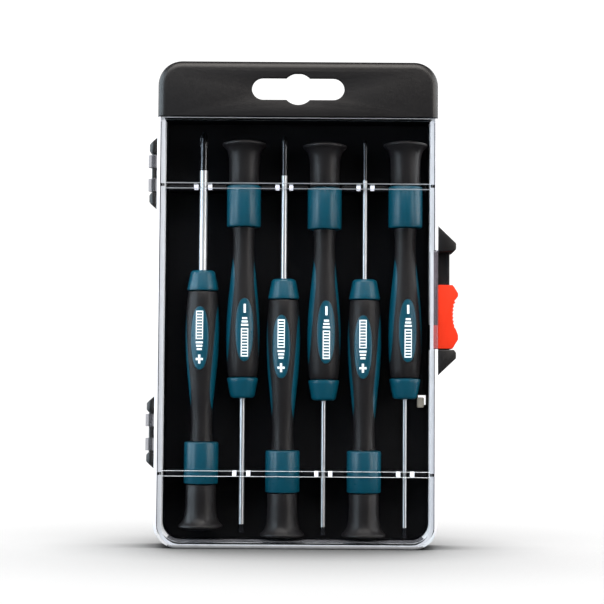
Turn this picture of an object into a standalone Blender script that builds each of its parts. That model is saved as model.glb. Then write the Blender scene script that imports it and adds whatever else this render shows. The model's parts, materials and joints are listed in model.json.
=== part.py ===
"""A set of six precision screwdrivers in a slim hinged case.

The case stands on its bottom edge: +Z up, +X right, the clear lid faces -Y.
The origin is on the floor, at the middle of the case's width, in the plane of the
screwdrivers' axes. All sizes are metres.
"""

import math

import bmesh
import bpy
from mathutils import Matrix, Vector

# ---- case ---------------------------------------------------------------------
HALF_WIDTH = 0.0503
CASE_HEIGHT = 0.174
FRONT = -0.011
BACK = 0.011
SKIN = 0.0016  # lid front and tray back
WALL = 0.0024  # side walls of lid and tray
CORNER = 0.0087
HEADER_EDGE = 0.0028  # rounding of the header's front edges
LID_EDGE = 0.0012  # rounding of the lid's front edges
GAP = 0.0003  # running gap between neighbouring pieces
LID_RIM = -0.0005  # depth at which the lid's wall meets the tray's wall
LIP_DEPTH = 0.002  # the lid's inner lip, which nests in the tray's rebate
LIP_OFFSET = 0.0013

# ---- header with its hang slot ------------------------------------------------
HEADER_BOTTOM = 0.1539
HEADER_WALL = 0.002
HEADER_BACK = 0.004  # the header is shallower than the tray below it
SLOT_Z = 0.1638
SLOT_HALF = 0.0166
SLOT_RADIUS = 0.004
SLOT_EYE = 0.0058

# ---- cross ribs that hold the screwdrivers ------------------------------------
RIB_UPPER_Z = 0.1292
RIB_LOWER_Z = 0.0263
RIB_THICK = 0.0019
LID_RIB_DEPTH = 0.003
CRADLE_FRONT = -0.001
CRADLE_REBATE = 0.0012  # room beside the wall for the lid's lip to swing out
STOP_WIDTH = 0.0014
STOP_HEIGHT = 0.0018
STOP_SPREAD = 0.0025  # from a shaft's axis to the middle of a stop
STOP_TIP = -0.0018

# ---- hinge --------------------------------------------------------------------
PIN_X = -0.0522
PIN_Y = -0.001
PIN_RADIUS = 0.00075
HINGE_CENTRES = (0.1343, 0.0407)
HINGE_HALF = 0.0133
HINGE_BAR_HALF = 0.0072
EAR_RADIUS = 0.0016
EAR_BACK = 0.006
KNUCKLE_RADIUS = 0.002
KNUCKLE_HEIGHT = 0.0044
KNUCKLE_SPACING = 0.0043  # from the hinge's middle to a knuckle's middle
KNUCKLE_BORE = PIN_RADIUS + GAP
HOOK_HEIGHT = 0.002

# ---- slide latch --------------------------------------------------------------
RAIL_BOTTOM = 0.0709
RAIL_TOP = 0.1062
RAIL_FRONT = 0.0022
RAIL_BACK = 0.0047
RAIL_REACH = 0.0554
RAIL_BEAD = 0.0006
STOP_EAR_REACH = 0.0572
STOP_EAR_RISE = 0.0093
STOP_EAR_FRONT = -0.0055
STOP_EAR_BACK = 0.008
SLIDER_BOTTOM = 0.0713
SLIDER_HEIGHT = 0.0229
SLIDER_INNER = 0.0508
SLIDER_FRONT = -0.0052
SLIDER_BACK = 0.0092
SLIDER_LIP_INNER = 0.0487
SLIDER_LIP_BACK = -0.0026
SLIDER_LIP_HEIGHT = 0.0084
LATCH_WINDOW_FRONT = -0.0063
CATCH_BOTTOM = 0.0801
CATCH_FRONT = -0.0022

# ---- small window in the tray's back ------------------------------------------
WINDOW_X = (0.0446, 0.0475)
WINDOW_Z = (0.0511, 0.0546)
TAB_X = (0.0441, 0.0466)
TAB_Z = (0.0501, 0.0538)
TAB_DEPTH = 0.0028

# ---- screwdrivers, measured along the axis from the butt ----------------------
FIRST_DRIVER_X = -0.0341
DRIVER_PITCH = 0.01465
HANDLE_LENGTH = 0.0935
CAP_LENGTH = 0.0165
COLLAR_TOP = 0.0317
NOSE_BASE = 0.0862
COLLAR_RADIUS = 0.00615
NOSE_RADIUS = 0.0056
NOSE_TIP_RADIUS = 0.0044
CORE_RADIUS = 0.0026
STUB_RADIUS = 0.0024
STUB_LENGTH = 0.0105
STUB_BEAD = 0.0004
PAD_CENTRE = 0.0690
PAD_HALF_LENGTH = 0.0113
PAD_HALF_WIDTH = 0.0033
STRIPE_CENTRE = 0.0619
STRIPE_HALF_LENGTH = 0.0185
STRIPE_HALF_WIDTH = 0.0036
BLADE_ROOT = 0.0635  # how deep the blade is moulded into the handle
BLADE_ROOT_RADIUS = 0.0016
ROUND_STEPS = 14
BLADE_STEPS = 12
SPIN_UP = -7  # how far the tip-up and the tip-down drivers rest turned, in degrees
SPIN_DOWN = 8

# tip, shaft radius, free length, dark tip's length, height of the butt or of the tip
DRIVERS = (
    ("phillips", 0.0015, 0.0507, 0.0141, 0.0056),
    ("slotted", 0.00095, 0.0482, 0.0030, 0.0050),
    ("phillips", 0.0011, 0.0522, 0.0147, 0.0027),
    ("slotted", 0.0008, 0.0484, 0.0030, 0.0041),
    ("phillips", 0.0008, 0.0509, 0.0146, 0.0027),
    ("slotted", 0.0007, 0.0500, 0.0038, 0.0032),
)

COLOURS = {
    "case_black": ((0.028, 0.027, 0.029), 0.42, 0.0),
    "clear_plastic": ((0.92, 0.94, 0.95), 0.04, 0.0),
    "latch_orange": ((1.0, 0.075, 0.012), 0.4, 0.0),
    "tab_ivory": ((0.66, 0.6, 0.5), 0.5, 0.0),
    "chrome_steel": ((0.82, 0.83, 0.85), 0.15, 1.0),
    "handle_teal": ((0.004, 0.1, 0.15), 0.35, 0.0),
    "grip_black": ((0.035, 0.034, 0.037), 0.62, 0.0),
}
CLEAR_ALPHA = 0.2


def clear_scene():
    """Remove whatever the opened file holds."""
    for obj in list(bpy.data.objects):
        bpy.data.objects.remove(obj)


def collection(name):
    """A new collection linked to the scene."""
    made = bpy.data.collections.new(name)
    bpy.context.scene.collection.children.link(made)
    return made


def material(name):
    """The Principled material of one of the set's plastics or metals."""
    colour, roughness, metallic = COLOURS[name]
    made = bpy.data.materials.new(name)
    made.use_nodes = True
    shader = made.node_tree.nodes["Principled BSDF"]
    shader.inputs["Base Color"].default_value = (*colour, 1.0)
    shader.inputs["Roughness"].default_value = roughness
    shader.inputs["Metallic"].default_value = metallic
    if name == "clear_plastic":
        shader.inputs["Alpha"].default_value = CLEAR_ALPHA
    return made


# ---- solids -------------------------------------------------------------------
def solid(name, mesh):
    """An object for a mesh, in the scene's own collection until it is finished."""
    obj = bpy.data.objects.new(name, mesh)
    bpy.context.scene.collection.objects.link(obj)
    return obj


def evaluated_mesh(obj):
    """The object's mesh with its modifiers, in world space, welded, facing out."""
    bpy.context.view_layer.update()
    ready = obj.evaluated_get(bpy.context.evaluated_depsgraph_get())
    mesh = bpy.data.meshes.new_from_object(ready)
    mesh.transform(obj.matrix_world)
    shape = bmesh.new()
    shape.from_mesh(mesh)
    bmesh.ops.remove_doubles(shape, verts=shape.verts, dist=1e-6)
    bmesh.ops.recalc_face_normals(shape, faces=shape.faces)
    shape.to_mesh(mesh)
    shape.free()
    return mesh


def settle(obj):
    """Replace the object by a plain mesh object of its evaluated, placed shape."""
    mesh = evaluated_mesh(obj)
    name = obj.name
    bpy.data.objects.remove(obj)
    return solid(name, mesh)


def prism(name, outlines, low, high, plane="XZ"):
    """Flat outlines, filled, with a thickness from low to high across their plane."""
    curve = bpy.data.curves.new(name, "CURVE")
    curve.dimensions = "2D"
    curve.fill_mode = "BOTH"
    curve.extrude = (high - low) / 2
    for outline in outlines:
        spline = curve.splines.new("POLY")
        spline.points.add(len(outline) - 1)
        spline.use_cyclic_u = True
        for point, (u, v) in zip(spline.points, outline):
            point.co = (u, v, 0, 1)
    obj = solid(name, curve)
    middle = (low + high) / 2
    if plane == "XZ":
        obj.location = (0, middle, 0)
        obj.rotation_euler = (math.pi / 2, 0, 0)
    else:
        obj.location = (0, 0, middle)
    return settle(obj)


def box(name, x, y, z):
    """A block between pairs of limits."""
    shape = bmesh.new()
    bmesh.ops.create_cube(shape, size=1)
    size = [high - low for low, high in (x, y, z)]
    middle = [(high + low) / 2 for low, high in (x, y, z)]
    bmesh.ops.scale(shape, vec=size, verts=shape.verts)
    bmesh.ops.translate(shape, vec=middle, verts=shape.verts)
    mesh = bpy.data.meshes.new(name)
    shape.to_mesh(mesh)
    shape.free()
    return solid(name, mesh)


def rod(name, centre, radius, z, steps=ROUND_STEPS):
    """An upright cylinder at centre (x, y) between two heights."""
    shape = bmesh.new()
    bmesh.ops.create_cone(
        shape, cap_ends=True, segments=steps, radius1=radius, radius2=radius, depth=z[1] - z[0]
    )
    bmesh.ops.translate(shape, vec=(*centre, (z[0] + z[1]) / 2), verts=shape.verts)
    mesh = bpy.data.meshes.new(name)
    shape.to_mesh(mesh)
    shape.free()
    return solid(name, mesh)


def turned(name, profile, steps=ROUND_STEPS, closed=False):
    """A profile of (radius, height), top to bottom down the outer side, turned about Z."""
    mesh = bpy.data.meshes.new(name)
    edges = [(i, i + 1) for i in range(len(profile) - 1)]
    if closed:
        edges.append((len(profile) - 1, 0))
    mesh.from_pydata([(r, 0, z) for r, z in profile], edges, [])
    obj = solid(name, mesh)
    screw = obj.modifiers.new("turn", "SCREW")
    screw.axis = "Z"
    screw.steps = steps
    screw.render_steps = steps
    screw.use_merge_vertices = True
    screw.merge_threshold = 1e-6
    return settle(obj)


def combine(obj, other, operation):
    """Apply one Boolean of the two solids and drop the second."""
    step = obj.modifiers.new(operation, "BOOLEAN")
    step.operation = operation
    step.solver = "EXACT"
    step.object = other
    result = settle(obj)
    bpy.data.objects.remove(other)
    return result


def join(obj, *others):
    for other in others:
        obj = combine(obj, other, "UNION")
    return obj


def mesh_of(obj):
    """The shape's mesh, for pieces that share it; the object itself goes."""
    mesh = obj.data
    bpy.data.objects.remove(obj)
    return mesh


def cut(obj, *others):
    for other in others:
        obj = combine(obj, other, "DIFFERENCE")
    return obj


def finish(obj, colour, group, origin=None, smooth=True):
    """Give a finished piece its origin, shading, material and collection."""
    if origin is not None:
        obj.data.transform(Matrix.Translation(-Vector(origin)))
        obj.location = origin
    obj.data.materials.clear()
    obj.data.materials.append(colour)
    if smooth:
        obj.data.shade_smooth()
        obj.data.set_sharp_from_angle(angle=math.radians(35))
    for old in list(obj.users_collection):
        old.objects.unlink(obj)
    group.objects.link(obj)
    return obj


# ---- outlines -----------------------------------------------------------------
def arc(centre, radius, start, end, steps=6):
    """Points of an arc, in degrees."""
    points = []
    for i in range(steps + 1):
        angle = math.radians(start + (end - start) * i / steps)
        x = centre[0] + radius * math.cos(angle)
        y = centre[1] + radius * math.sin(angle)
        points.append((x, y))
    return points


def tub(inset, bottom, top, radius):
    """A U-shaped outline: rounded at the bottom, square at the top."""
    side = HALF_WIDTH - inset
    round_x = side - radius
    round_z = bottom + radius
    return [
        *arc((-round_x, round_z), radius, 180, 270),
        *arc((round_x, round_z), radius, 270, 360),
        (side, top),
        (-side, top),
    ]


def slab(inset, bottom, top, radius):
    """An outline that is rounded at its top corners only."""
    side = HALF_WIDTH - inset
    round_x = side - radius
    round_z = top - radius
    return [
        (-side, bottom),
        (side, bottom),
        *arc((round_x, round_z), radius, 0, 90),
        *arc((-round_x, round_z), radius, 90, 180),
    ]


def rounded_plate(top, radius):
    """The case's whole outline, rounded at all four corners."""
    lower = tub(0, 0, top, radius)[:-2]
    return lower + slab(0, 0, top, radius)[2:]


def round_front_edges(obj, radius, keep_z=None):
    """Round the edges of the front face, apart from a straight one at keep_z."""
    shape = bmesh.new()
    shape.from_mesh(obj.data)
    bmesh.ops.dissolve_limit(
        shape, angle_limit=math.radians(1), verts=shape.verts, edges=shape.edges
    )
    rim = []
    for edge in shape.edges:
        if len(edge.link_faces) != 2 or edge.calc_face_angle(0) < math.radians(60):
            continue
        on_front = all(abs(v.co.y - FRONT) < 1e-6 for v in edge.verts)
        on_kept = keep_z is not None and all(abs(v.co.z - keep_z) < 1e-6 for v in edge.verts)
        if on_front and not on_kept:
            rim.append(edge)
    bmesh.ops.bevel(
        shape, geom=rim, offset=radius, offset_type="OFFSET", segments=3, profile=0.5,
        affect="EDGES", clamp_overlap=False,
    )
    shape.to_mesh(obj.data)
    shape.free()
    return obj


# ---- screwdrivers -------------------------------------------------------------
def driver_x(number):
    return FIRST_DRIVER_X + DRIVER_PITCH * number


def points_down(number):
    return number % 2 == 1


def grip_outline():
    """Outer profile of the soft grip, from the nose down to the collar."""
    return [
        (0.00525, NOSE_BASE - 0.0002),
        (0.00600, 0.0770),
        (0.00610, 0.0710),
        (0.00575, 0.0610),
        (0.00450, 0.0495),
        (0.00375, 0.0400),
        (0.00415, COLLAR_TOP + GAP),
    ]


def window_prisms(margin):
    """Oval front and back windows and the two side stripes, as through prisms."""
    reach = 0.01
    oval = [
        ((PAD_HALF_WIDTH + margin) * math.cos(a), PAD_CENTRE + (PAD_HALF_LENGTH + margin) * math.sin(a))
        for a in (math.tau * i / 10 for i in range(10))
    ]
    stripe = [
        (
            (STRIPE_HALF_WIDTH + margin) * math.cos(a),
            STRIPE_CENTRE + (STRIPE_HALF_LENGTH + margin) * math.sin(a),
        )
        for a in (math.tau * i / 10 for i in range(10))
    ]
    front_back = prism("front_back_window", [oval], -reach, reach)
    sides = prism("side_window", [stripe], -reach, reach)
    sides.rotation_euler = (0, 0, math.pi / 2)
    return join(front_back, settle(sides))


def handle_core_mesh():
    """Teal core: nose, window pads, collar and the stub that the cap swivels on."""
    collar_edge = 0.0006
    nose_lip = 0.0008
    stub_top = CAP_LENGTH - STUB_LENGTH
    core = turned(
        "core",
        [
            (0, HANDLE_LENGTH - 0.0006),
            (NOSE_TIP_RADIUS - nose_lip, HANDLE_LENGTH - 0.0006),
            (NOSE_TIP_RADIUS - nose_lip / 2, HANDLE_LENGTH),
            (NOSE_TIP_RADIUS, HANDLE_LENGTH - nose_lip),
            (NOSE_RADIUS, NOSE_BASE + 0.0008),
            (NOSE_RADIUS - 0.0003, NOSE_BASE),
            (CORE_RADIUS, NOSE_BASE),
            (CORE_RADIUS, COLLAR_TOP),
            (COLLAR_RADIUS - collar_edge, COLLAR_TOP),
            (COLLAR_RADIUS, COLLAR_TOP - collar_edge),
            (COLLAR_RADIUS, CAP_LENGTH + GAP),
            (STUB_RADIUS, CAP_LENGTH + GAP),
            (STUB_RADIUS, stub_top + 0.0016),
            (STUB_RADIUS + STUB_BEAD, stub_top + 0.0010),
            (STUB_RADIUS - 0.0003, stub_top),
            (0, stub_top),
        ],
    )
    outline = grip_outline()
    pads = turned("pads", [(0, outline[0][1]), *outline, (0, outline[-1][1])])
    pads = combine(pads, window_prisms(0), "INTERSECT")
    core = join(core, pads)
    seat_z = (BLADE_ROOT - GAP, HANDLE_LENGTH + 0.001)
    seat = rod("seat", (0, 0), BLADE_ROOT_RADIUS + GAP, seat_z, BLADE_STEPS)
    return mesh_of(cut(core, seat))


def grip_mesh():
    """Soft black sleeve with windows for the teal pads."""
    inner = CORE_RADIUS + GAP
    outline = grip_outline()
    top = outline[0][1]
    bottom = outline[-1][1]
    sleeve = turned("grip", [*outline, (inner, bottom), (inner, top)], closed=True)
    return mesh_of(cut(sleeve, window_prisms(GAP)))


def cap_mesh():
    """Swivel cap: domed butt with a finger flare, and a blind bore for the stub."""
    bore = STUB_RADIUS + GAP
    groove = STUB_RADIUS + STUB_BEAD + GAP
    bore_end = CAP_LENGTH - STUB_LENGTH - GAP
    bead = CAP_LENGTH - STUB_LENGTH + 0.0010
    profile = [
        (bore, CAP_LENGTH),
        (0.0055, CAP_LENGTH),
        (0.0055, 0.0070),
        (0.0062, 0.0037),
        (0.0080, 0.0019),
        (0.0080, 0.0012),
        (0.0045, 0.0003),
        (0, 0),
    ]
    inside = [(0, bore_end), (groove - 0.0006, bore_end), (groove, bead), (bore, bead + 0.0008)]
    return mesh_of(turned("cap", [*profile, *inside], closed=True))


def blade_mesh(number):
    """One blade: a round shank, with a Phillips point or a ground flat tip."""
    tip, radius, length, dark, _ = DRIVERS[number]
    end = HANDLE_LENGTH + length
    shank = [
        (radius, HANDLE_LENGTH + 0.0002),
        (BLADE_ROOT_RADIUS, HANDLE_LENGTH - 0.0002),
        (BLADE_ROOT_RADIUS, BLADE_ROOT),
        (0, BLADE_ROOT),
    ]
    if tip == "phillips":
        cone = radius * 1.9
        point = [(0, end), (radius * 0.3, end), (radius, end - cone)]
        blade = turned("blade", [*point, *shank], BLADE_STEPS)
        for quarter in range(4):
            blade = cut(blade, phillips_flute(radius, end, cone, quarter))
        return mesh_of(blade)
    blade = turned("blade", [(0, end), (radius, end), *shank], BLADE_STEPS)
    for side in (-1, 1):
        blade = cut(blade, tip_grind(radius, end, dark, side))
    return mesh_of(blade)


def phillips_flute(radius, end, cone, quarter):
    """A square bar, on edge and tilted with the cone, that mills one flute."""
    side = radius * 0.9
    bar = box("flute", (-side / 2, side / 2), (-side / 2, side / 2), (-cone * 1.1, cone * 1.1))
    lean = Matrix.Rotation(math.radians(20), 4, "Y")
    turn = Matrix.Rotation(math.radians(90 * quarter + 45), 4, "Z")
    edge_on = Matrix.Rotation(math.radians(45), 4, "Z")
    place = Matrix.Translation((radius * 0.95, 0, 0))
    bar.data.transform(Matrix.Translation((0, 0, end)) @ turn @ place @ lean.inverted() @ edge_on)
    return bar


def tip_grind(radius, end, length, side):
    """A leaning block that grinds one face of a slotted tip."""
    half_tip = radius * 0.22
    lean = math.atan2(radius * 0.75 - half_tip, length)
    block = box("grind", (-0.002, 0.002), (0, 0.003), (-length, 0.002))
    tilt = Matrix.Rotation(lean, 4, "X")
    shift = Matrix.Translation((0, half_tip, end))
    flip = Matrix.Rotation(math.pi if side < 0 else 0, 4, "Z")
    block.data.transform(flip @ shift @ tilt)
    return block


def build_drivers(group, colours):
    """Six drivers, each under an empty on its own axis; every other one points down."""
    core = handle_core_mesh()
    grip = grip_mesh()
    cap = cap_mesh()
    for number, (_, _, length, _, height) in enumerate(DRIVERS):
        label = number + 1
        axis = bpy.data.objects.new(f"driver_{label}_axis", None)
        group.objects.link(axis)
        axis.location = (driver_x(number), 0, height)
        axis.rotation_euler = (0, 0, math.radians(SPIN_UP))
        if points_down(number):
            axis.location.z += HANDLE_LENGTH + length
            axis.rotation_euler = (0, math.pi, math.radians(SPIN_DOWN))
        pieces = (
            (f"blade_{label}", blade_mesh(number), "chrome_steel"),
            (f"handle_core_{label}", core, "handle_teal"),
            (f"grip_sleeve_{label}", grip, "grip_black"),
            (f"swivel_cap_{label}", cap, "grip_black"),
        )
        for name, mesh, colour in pieces:
            piece = finish(solid(name, mesh), colours[colour], group)
            piece.parent = axis


# ---- case ---------------------------------------------------------------------
def hinge_ears(centre):
    """Two ears with sloped outer ends and the thin bar between them."""
    outer = PIN_X - EAR_RADIUS
    into_wall = -HALF_WIDTH + WALL / 2
    ramp = 0.0029
    round_in = 0.0009
    ears = None
    for sign in (-1, 1):
        low = centre + sign * HINGE_BAR_HALF
        high = centre + sign * HINGE_HALF
        side_view = [
            (into_wall, low),
            (outer + round_in, low),
            (outer, low + sign * round_in),
            (outer, high - sign * ramp),
            (-HALF_WIDTH - GAP, high),
            (into_wall, high),
        ]
        ear = prism("ear", [side_view], PIN_Y - EAR_RADIUS, EAR_BACK)
        plan = join(
            rod("plan", (PIN_X, PIN_Y), EAR_RADIUS, (centre - HINGE_HALF, centre + HINGE_HALF)),
            box(
                "plan_back",
                (outer, -HALF_WIDTH - GAP),
                (PIN_Y, EAR_BACK),
                (centre - HINGE_HALF, centre + HINGE_HALF),
            ),
            box(
                "plan_root",
                (outer, into_wall),
                (LID_RIM + GAP, EAR_BACK),
                (centre - HINGE_HALF, centre + HINGE_HALF),
            ),
        )
        ear = combine(ear, plan, "INTERSECT")
        ears = ear if ears is None else join(ears, ear)
    reach = HINGE_BAR_HALF + 0.0006
    bar = rod("bar", (PIN_X, PIN_Y), PIN_RADIUS, (centre - reach, centre + reach), 12)
    stay = box(
        "stay",
        (PIN_X, into_wall),
        (PIN_Y + KNUCKLE_RADIUS + GAP, EAR_BACK - 0.0006),
        (centre - reach, centre + reach),
    )
    return join(ears, bar, stay)


def stop_ear(end, sign):
    """The guard wedge at one end of the latch's rail."""
    into_wall = HALF_WIDTH - WALL / 2
    inner = HALF_WIDTH + GAP
    shape = [
        (into_wall, end),
        (STOP_EAR_REACH - 0.0008, end),
        (STOP_EAR_REACH, end + sign * 0.0010),
        (STOP_EAR_REACH, end + sign * 0.0030),
        (inner, end + sign * STOP_EAR_RISE),
        (into_wall, end + sign * STOP_EAR_RISE),
    ]
    wedge = prism("stop_ear", [shape], STOP_EAR_FRONT, STOP_EAR_BACK)
    low, high = sorted((end - sign * 0.001, end + sign * (STOP_EAR_RISE + 0.001)))
    return cut(
        wedge, box("lid_room", (0.04, inner), (STOP_EAR_FRONT - 0.001, LID_RIM + GAP), (low, high))
    )


def latch_rail():
    """The rail between the stop ears, with a bead that keeps the slider on."""
    into_wall = HALF_WIDTH - WALL / 2
    z = (RAIL_BOTTOM - 0.0005, RAIL_TOP + 0.0005)
    web = box("rail", (into_wall, RAIL_REACH), (RAIL_FRONT, RAIL_BACK), z)
    bead = box(
        "rail_bead",
        (RAIL_REACH - 0.001, RAIL_REACH),
        (RAIL_FRONT - RAIL_BEAD, RAIL_BACK + RAIL_BEAD),
        z,
    )
    return join(web, bead)


def cradle(name, z, seats):
    """A cross rib of the tray with a notch for each (x, radius) that rests in it."""
    half = HALF_WIDTH - WALL
    rib = box(
        name,
        (-half - 0.0005, half + 0.0005),
        (CRADLE_FRONT, BACK - SKIN / 2),
        (z - RIB_THICK / 2, z + RIB_THICK / 2),
    )
    room = LID_RIM + LIP_DEPTH + GAP
    for sign in (-1, 1):
        x = sorted((sign * (half - CRADLE_REBATE), sign * (half + 0.002)))
        rib = cut(rib, box("lip_room", x, (CRADLE_FRONT - 0.001, room), (z - 0.002, z + 0.002)))
    for x, radius in seats:
        side = radius + GAP
        notch = [*arc((x, 0), side, 0, 180, 8), (x - side, -0.003), (x + side, -0.003)]
        rib = cut(rib, prism("notch", [notch], z - 0.002, z + 0.002, "XY"))
    return rib


def seats_at(upper):
    """What lies in a cradle: shafts of one half of the set, collars of the other."""
    seats = []
    for number, (_, radius, _, _, _) in enumerate(DRIVERS):
        on_shaft = points_down(number) != upper
        seats.append((driver_x(number), radius if on_shaft else COLLAR_RADIUS))
    return seats


def build_base(group, colour):
    """Black tray with header, cradles, hinge ears, latch rail and back window."""
    wall_front = LID_RIM + GAP
    block = prism("base_shell", [rounded_plate(CASE_HEIGHT, CORNER)], FRONT, BACK)
    block = round_front_edges(block, HEADER_EDGE)
    across = (-HALF_WIDTH - 0.001, HALF_WIDTH + 0.001)
    lid_room = box("lid_room", across, (FRONT - 0.001, wall_front), (-0.001, HEADER_BOTTOM))
    tray = cut(block, lid_room)
    hollow_corner = CORNER - WALL
    hollow = prism(
        "hollow", [tub(WALL, WALL, HEADER_BOTTOM, hollow_corner)], wall_front - 0.001, BACK - SKIN
    )
    tray = cut(tray, hollow)
    rebate_depth = LID_RIM + LIP_DEPTH + GAP
    rebate = prism(
        "rebate",
        [tub(LIP_OFFSET - GAP, LIP_OFFSET - GAP, HEADER_BOTTOM, CORNER - LIP_OFFSET)],
        wall_front - 0.001,
        rebate_depth,
    )
    base = cut(tray, rebate)
    pocket = slab(
        HEADER_WALL, HEADER_BOTTOM + HEADER_WALL, CASE_HEIGHT - HEADER_WALL, CORNER - HEADER_WALL
    )
    behind = box(
        "behind",
        across,
        (HEADER_BACK, BACK + 0.002),
        (HEADER_BOTTOM + HEADER_WALL, CASE_HEIGHT + 0.001),
    )
    slot = [
        *arc((SLOT_HALF - SLOT_RADIUS, SLOT_Z), SLOT_RADIUS, -90, 90, 8),
        *arc((SLOT_RADIUS - SLOT_HALF, SLOT_Z), SLOT_RADIUS, 90, 270, 8),
    ]
    base = cut(
        base,
        join(prism("pocket", [pocket], FRONT + HEADER_WALL, BACK + 0.001), behind),
        prism("slot", [slot], FRONT - 0.002, FRONT + 0.004),
        prism("slot_eye", [arc((0, SLOT_Z), SLOT_EYE, 0, 345, 23)], FRONT - 0.002, FRONT + 0.004),
        box("window", WINDOW_X, (BACK - SKIN - 0.002, BACK + 0.002), WINDOW_Z),
    )
    base = join(
        base,
        cradle("upper_cradle", RIB_UPPER_Z, seats_at(True)),
        cradle("lower_cradle", RIB_LOWER_Z, seats_at(False)),
    )
    for centre in HINGE_CENTRES:
        for sign in (-1, 1):
            z = centre + sign * KNUCKLE_SPACING
            half = KNUCKLE_HEIGHT / 2 + GAP
            room = rod("knuckle_room", (PIN_X, PIN_Y), KNUCKLE_RADIUS + GAP, (z - half, z + half))
            base = cut(base, room)
        base = join(base, hinge_ears(centre))
    base = join(
        base, stop_ear(RAIL_TOP, 1), stop_ear(RAIL_BOTTOM, -1), latch_rail()
    )
    base.name = "base_shell"
    return finish(base, colour, group)


def build_tab(group, colour):
    """The small ivory tab in front of the window."""
    back = BACK - SKIN - GAP
    tab = box("window_tab", TAB_X, (back - TAB_DEPTH, back), TAB_Z)
    shape = bmesh.new()
    shape.from_mesh(tab.data)
    upright = [e for e in shape.edges if abs(e.verts[0].co.y - e.verts[1].co.y) > TAB_DEPTH / 2]
    bmesh.ops.bevel(shape, geom=upright, offset=0.0006, segments=2, profile=0.5, affect="EDGES")
    shape.to_mesh(tab.data)
    shape.free()
    return finish(tab, colour, group)


def knuckle(z):
    """One lid knuckle: a ring round the hinge bar and its web to the lid's wall."""
    half = KNUCKLE_HEIGHT / 2
    ring = rod("knuckle", (PIN_X, PIN_Y), KNUCKLE_RADIUS, (z - half, z + half))
    web = box(
        "web",
        (PIN_X + KNUCKLE_BORE, -HALF_WIDTH + WALL / 4),
        (PIN_Y - KNUCKLE_RADIUS + 0.0002, LID_RIM - 0.0001),
        (z - half, z + half),
    )
    return join(ring, web)


def build_lid(group, colour):
    """Clear lid: front, three walls with a lip, cross ribs, shaft stops and knuckles."""
    top = HEADER_BOTTOM - 0.0005
    shell = prism("clear_lid", [tub(0, 0, top, CORNER)], FRONT, LID_RIM)
    shell = round_front_edges(shell, LID_EDGE, top)
    cavity = prism(
        "cavity",
        [tub(WALL, WALL, top + 0.002, CORNER - WALL)],
        FRONT + SKIN,
        LID_RIM + 0.001,
    )
    lid = cut(shell, cavity)
    lip_outline = tub(LIP_OFFSET, LIP_OFFSET, top, CORNER - LIP_OFFSET)
    lip = prism("lip", [lip_outline], LID_RIM - 0.001, LID_RIM + LIP_DEPTH)
    lip_room = prism(
        "lip_room", [tub(WALL, WALL, top + 0.002, CORNER - WALL)], LID_RIM - 0.002, LID_RIM + 0.004
    )
    lid = join(lid, cut(lip, lip_room))
    inner = FRONT + SKIN
    for upper, z in ((True, RIB_UPPER_Z), (False, RIB_LOWER_Z)):
        half = HALF_WIDTH - WALL + 0.0005
        rib_z = (z - RIB_THICK / 2, z + RIB_THICK / 2)
        rib = box("rib", (-half, half), (inner - 0.0005, inner + LID_RIB_DEPTH), rib_z)
        lid = join(lid, rib)
        for number in range(len(DRIVERS)):
            if points_down(number) == upper:
                continue
            for sign in (-1, 1):
                x = driver_x(number) + sign * STOP_SPREAD
                stop = box(
                    "stop",
                    (x - STOP_WIDTH / 2, x + STOP_WIDTH / 2),
                    (inner - 0.0005, STOP_TIP),
                    (z - STOP_HEIGHT / 2, z + STOP_HEIGHT / 2),
                )
                lid = join(lid, stop)
    for centre in HINGE_CENTRES:
        hook = box(
            "hook",
            (PIN_X + KNUCKLE_BORE, -HALF_WIDTH + WALL / 4),
            (PIN_Y - 0.0012, LID_RIM - 0.0001),
            (centre - HOOK_HEIGHT / 2, centre + HOOK_HEIGHT / 2),
        )
        lid = join(
            lid, knuckle(centre - KNUCKLE_SPACING), knuckle(centre + KNUCKLE_SPACING), hook
        )
        reach = HINGE_BAR_HALF
        bore = rod("bore", (PIN_X, PIN_Y), KNUCKLE_BORE, (centre - reach, centre + reach), 12)
        lid = cut(lid, bore)
    window_z = (RAIL_BOTTOM, RAIL_TOP)
    wall_x = (HALF_WIDTH - WALL - 0.001, HALF_WIDTH + 0.001)
    lid = cut(
        lid,
        box("latch_window", wall_x, (LATCH_WINDOW_FRONT, CATCH_FRONT), window_z),
        box("latch_way", wall_x, (CATCH_FRONT - 0.001, 0.005), (RAIL_BOTTOM, CATCH_BOTTOM)),
    )
    lid.name = "clear_lid"
    return finish(lid, colour, group, origin=(PIN_X, PIN_Y, 0))


def slider_outline():
    """The orange slider seen from the front: two bumps and a stepped thumb rest."""
    bump = 0.0579
    shoulder = bump - 0.0009
    waist = bump - 0.0016
    rest_low = 0.0072
    rest_high = 0.0166
    steps = 5
    outline = [
        (SLIDER_INNER, 0),
        (bump - 0.0020, 0),
        (bump, 0.0033),
        (bump, 0.0049),
    ]
    for i in range(steps):
        z = rest_low + (rest_high - rest_low) * i / (steps - 1)
        bow = math.sin(math.pi * i / (steps - 1))
        x = shoulder - (shoulder - waist) * bow
        outline.append((x, z))
        outline.append((x - 0.0003, z + 0.0008))
    outline.extend(
        [
            (bump, SLIDER_HEIGHT - 0.0041),
            (bump, SLIDER_HEIGHT - 0.0030),
            (bump - 0.0013, SLIDER_HEIGHT - 0.0009),
            (bump - 0.0020, SLIDER_HEIGHT),
            (SLIDER_INNER, SLIDER_HEIGHT),
        ]
    )
    return [(x, SLIDER_BOTTOM + z) for x, z in outline]


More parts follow.
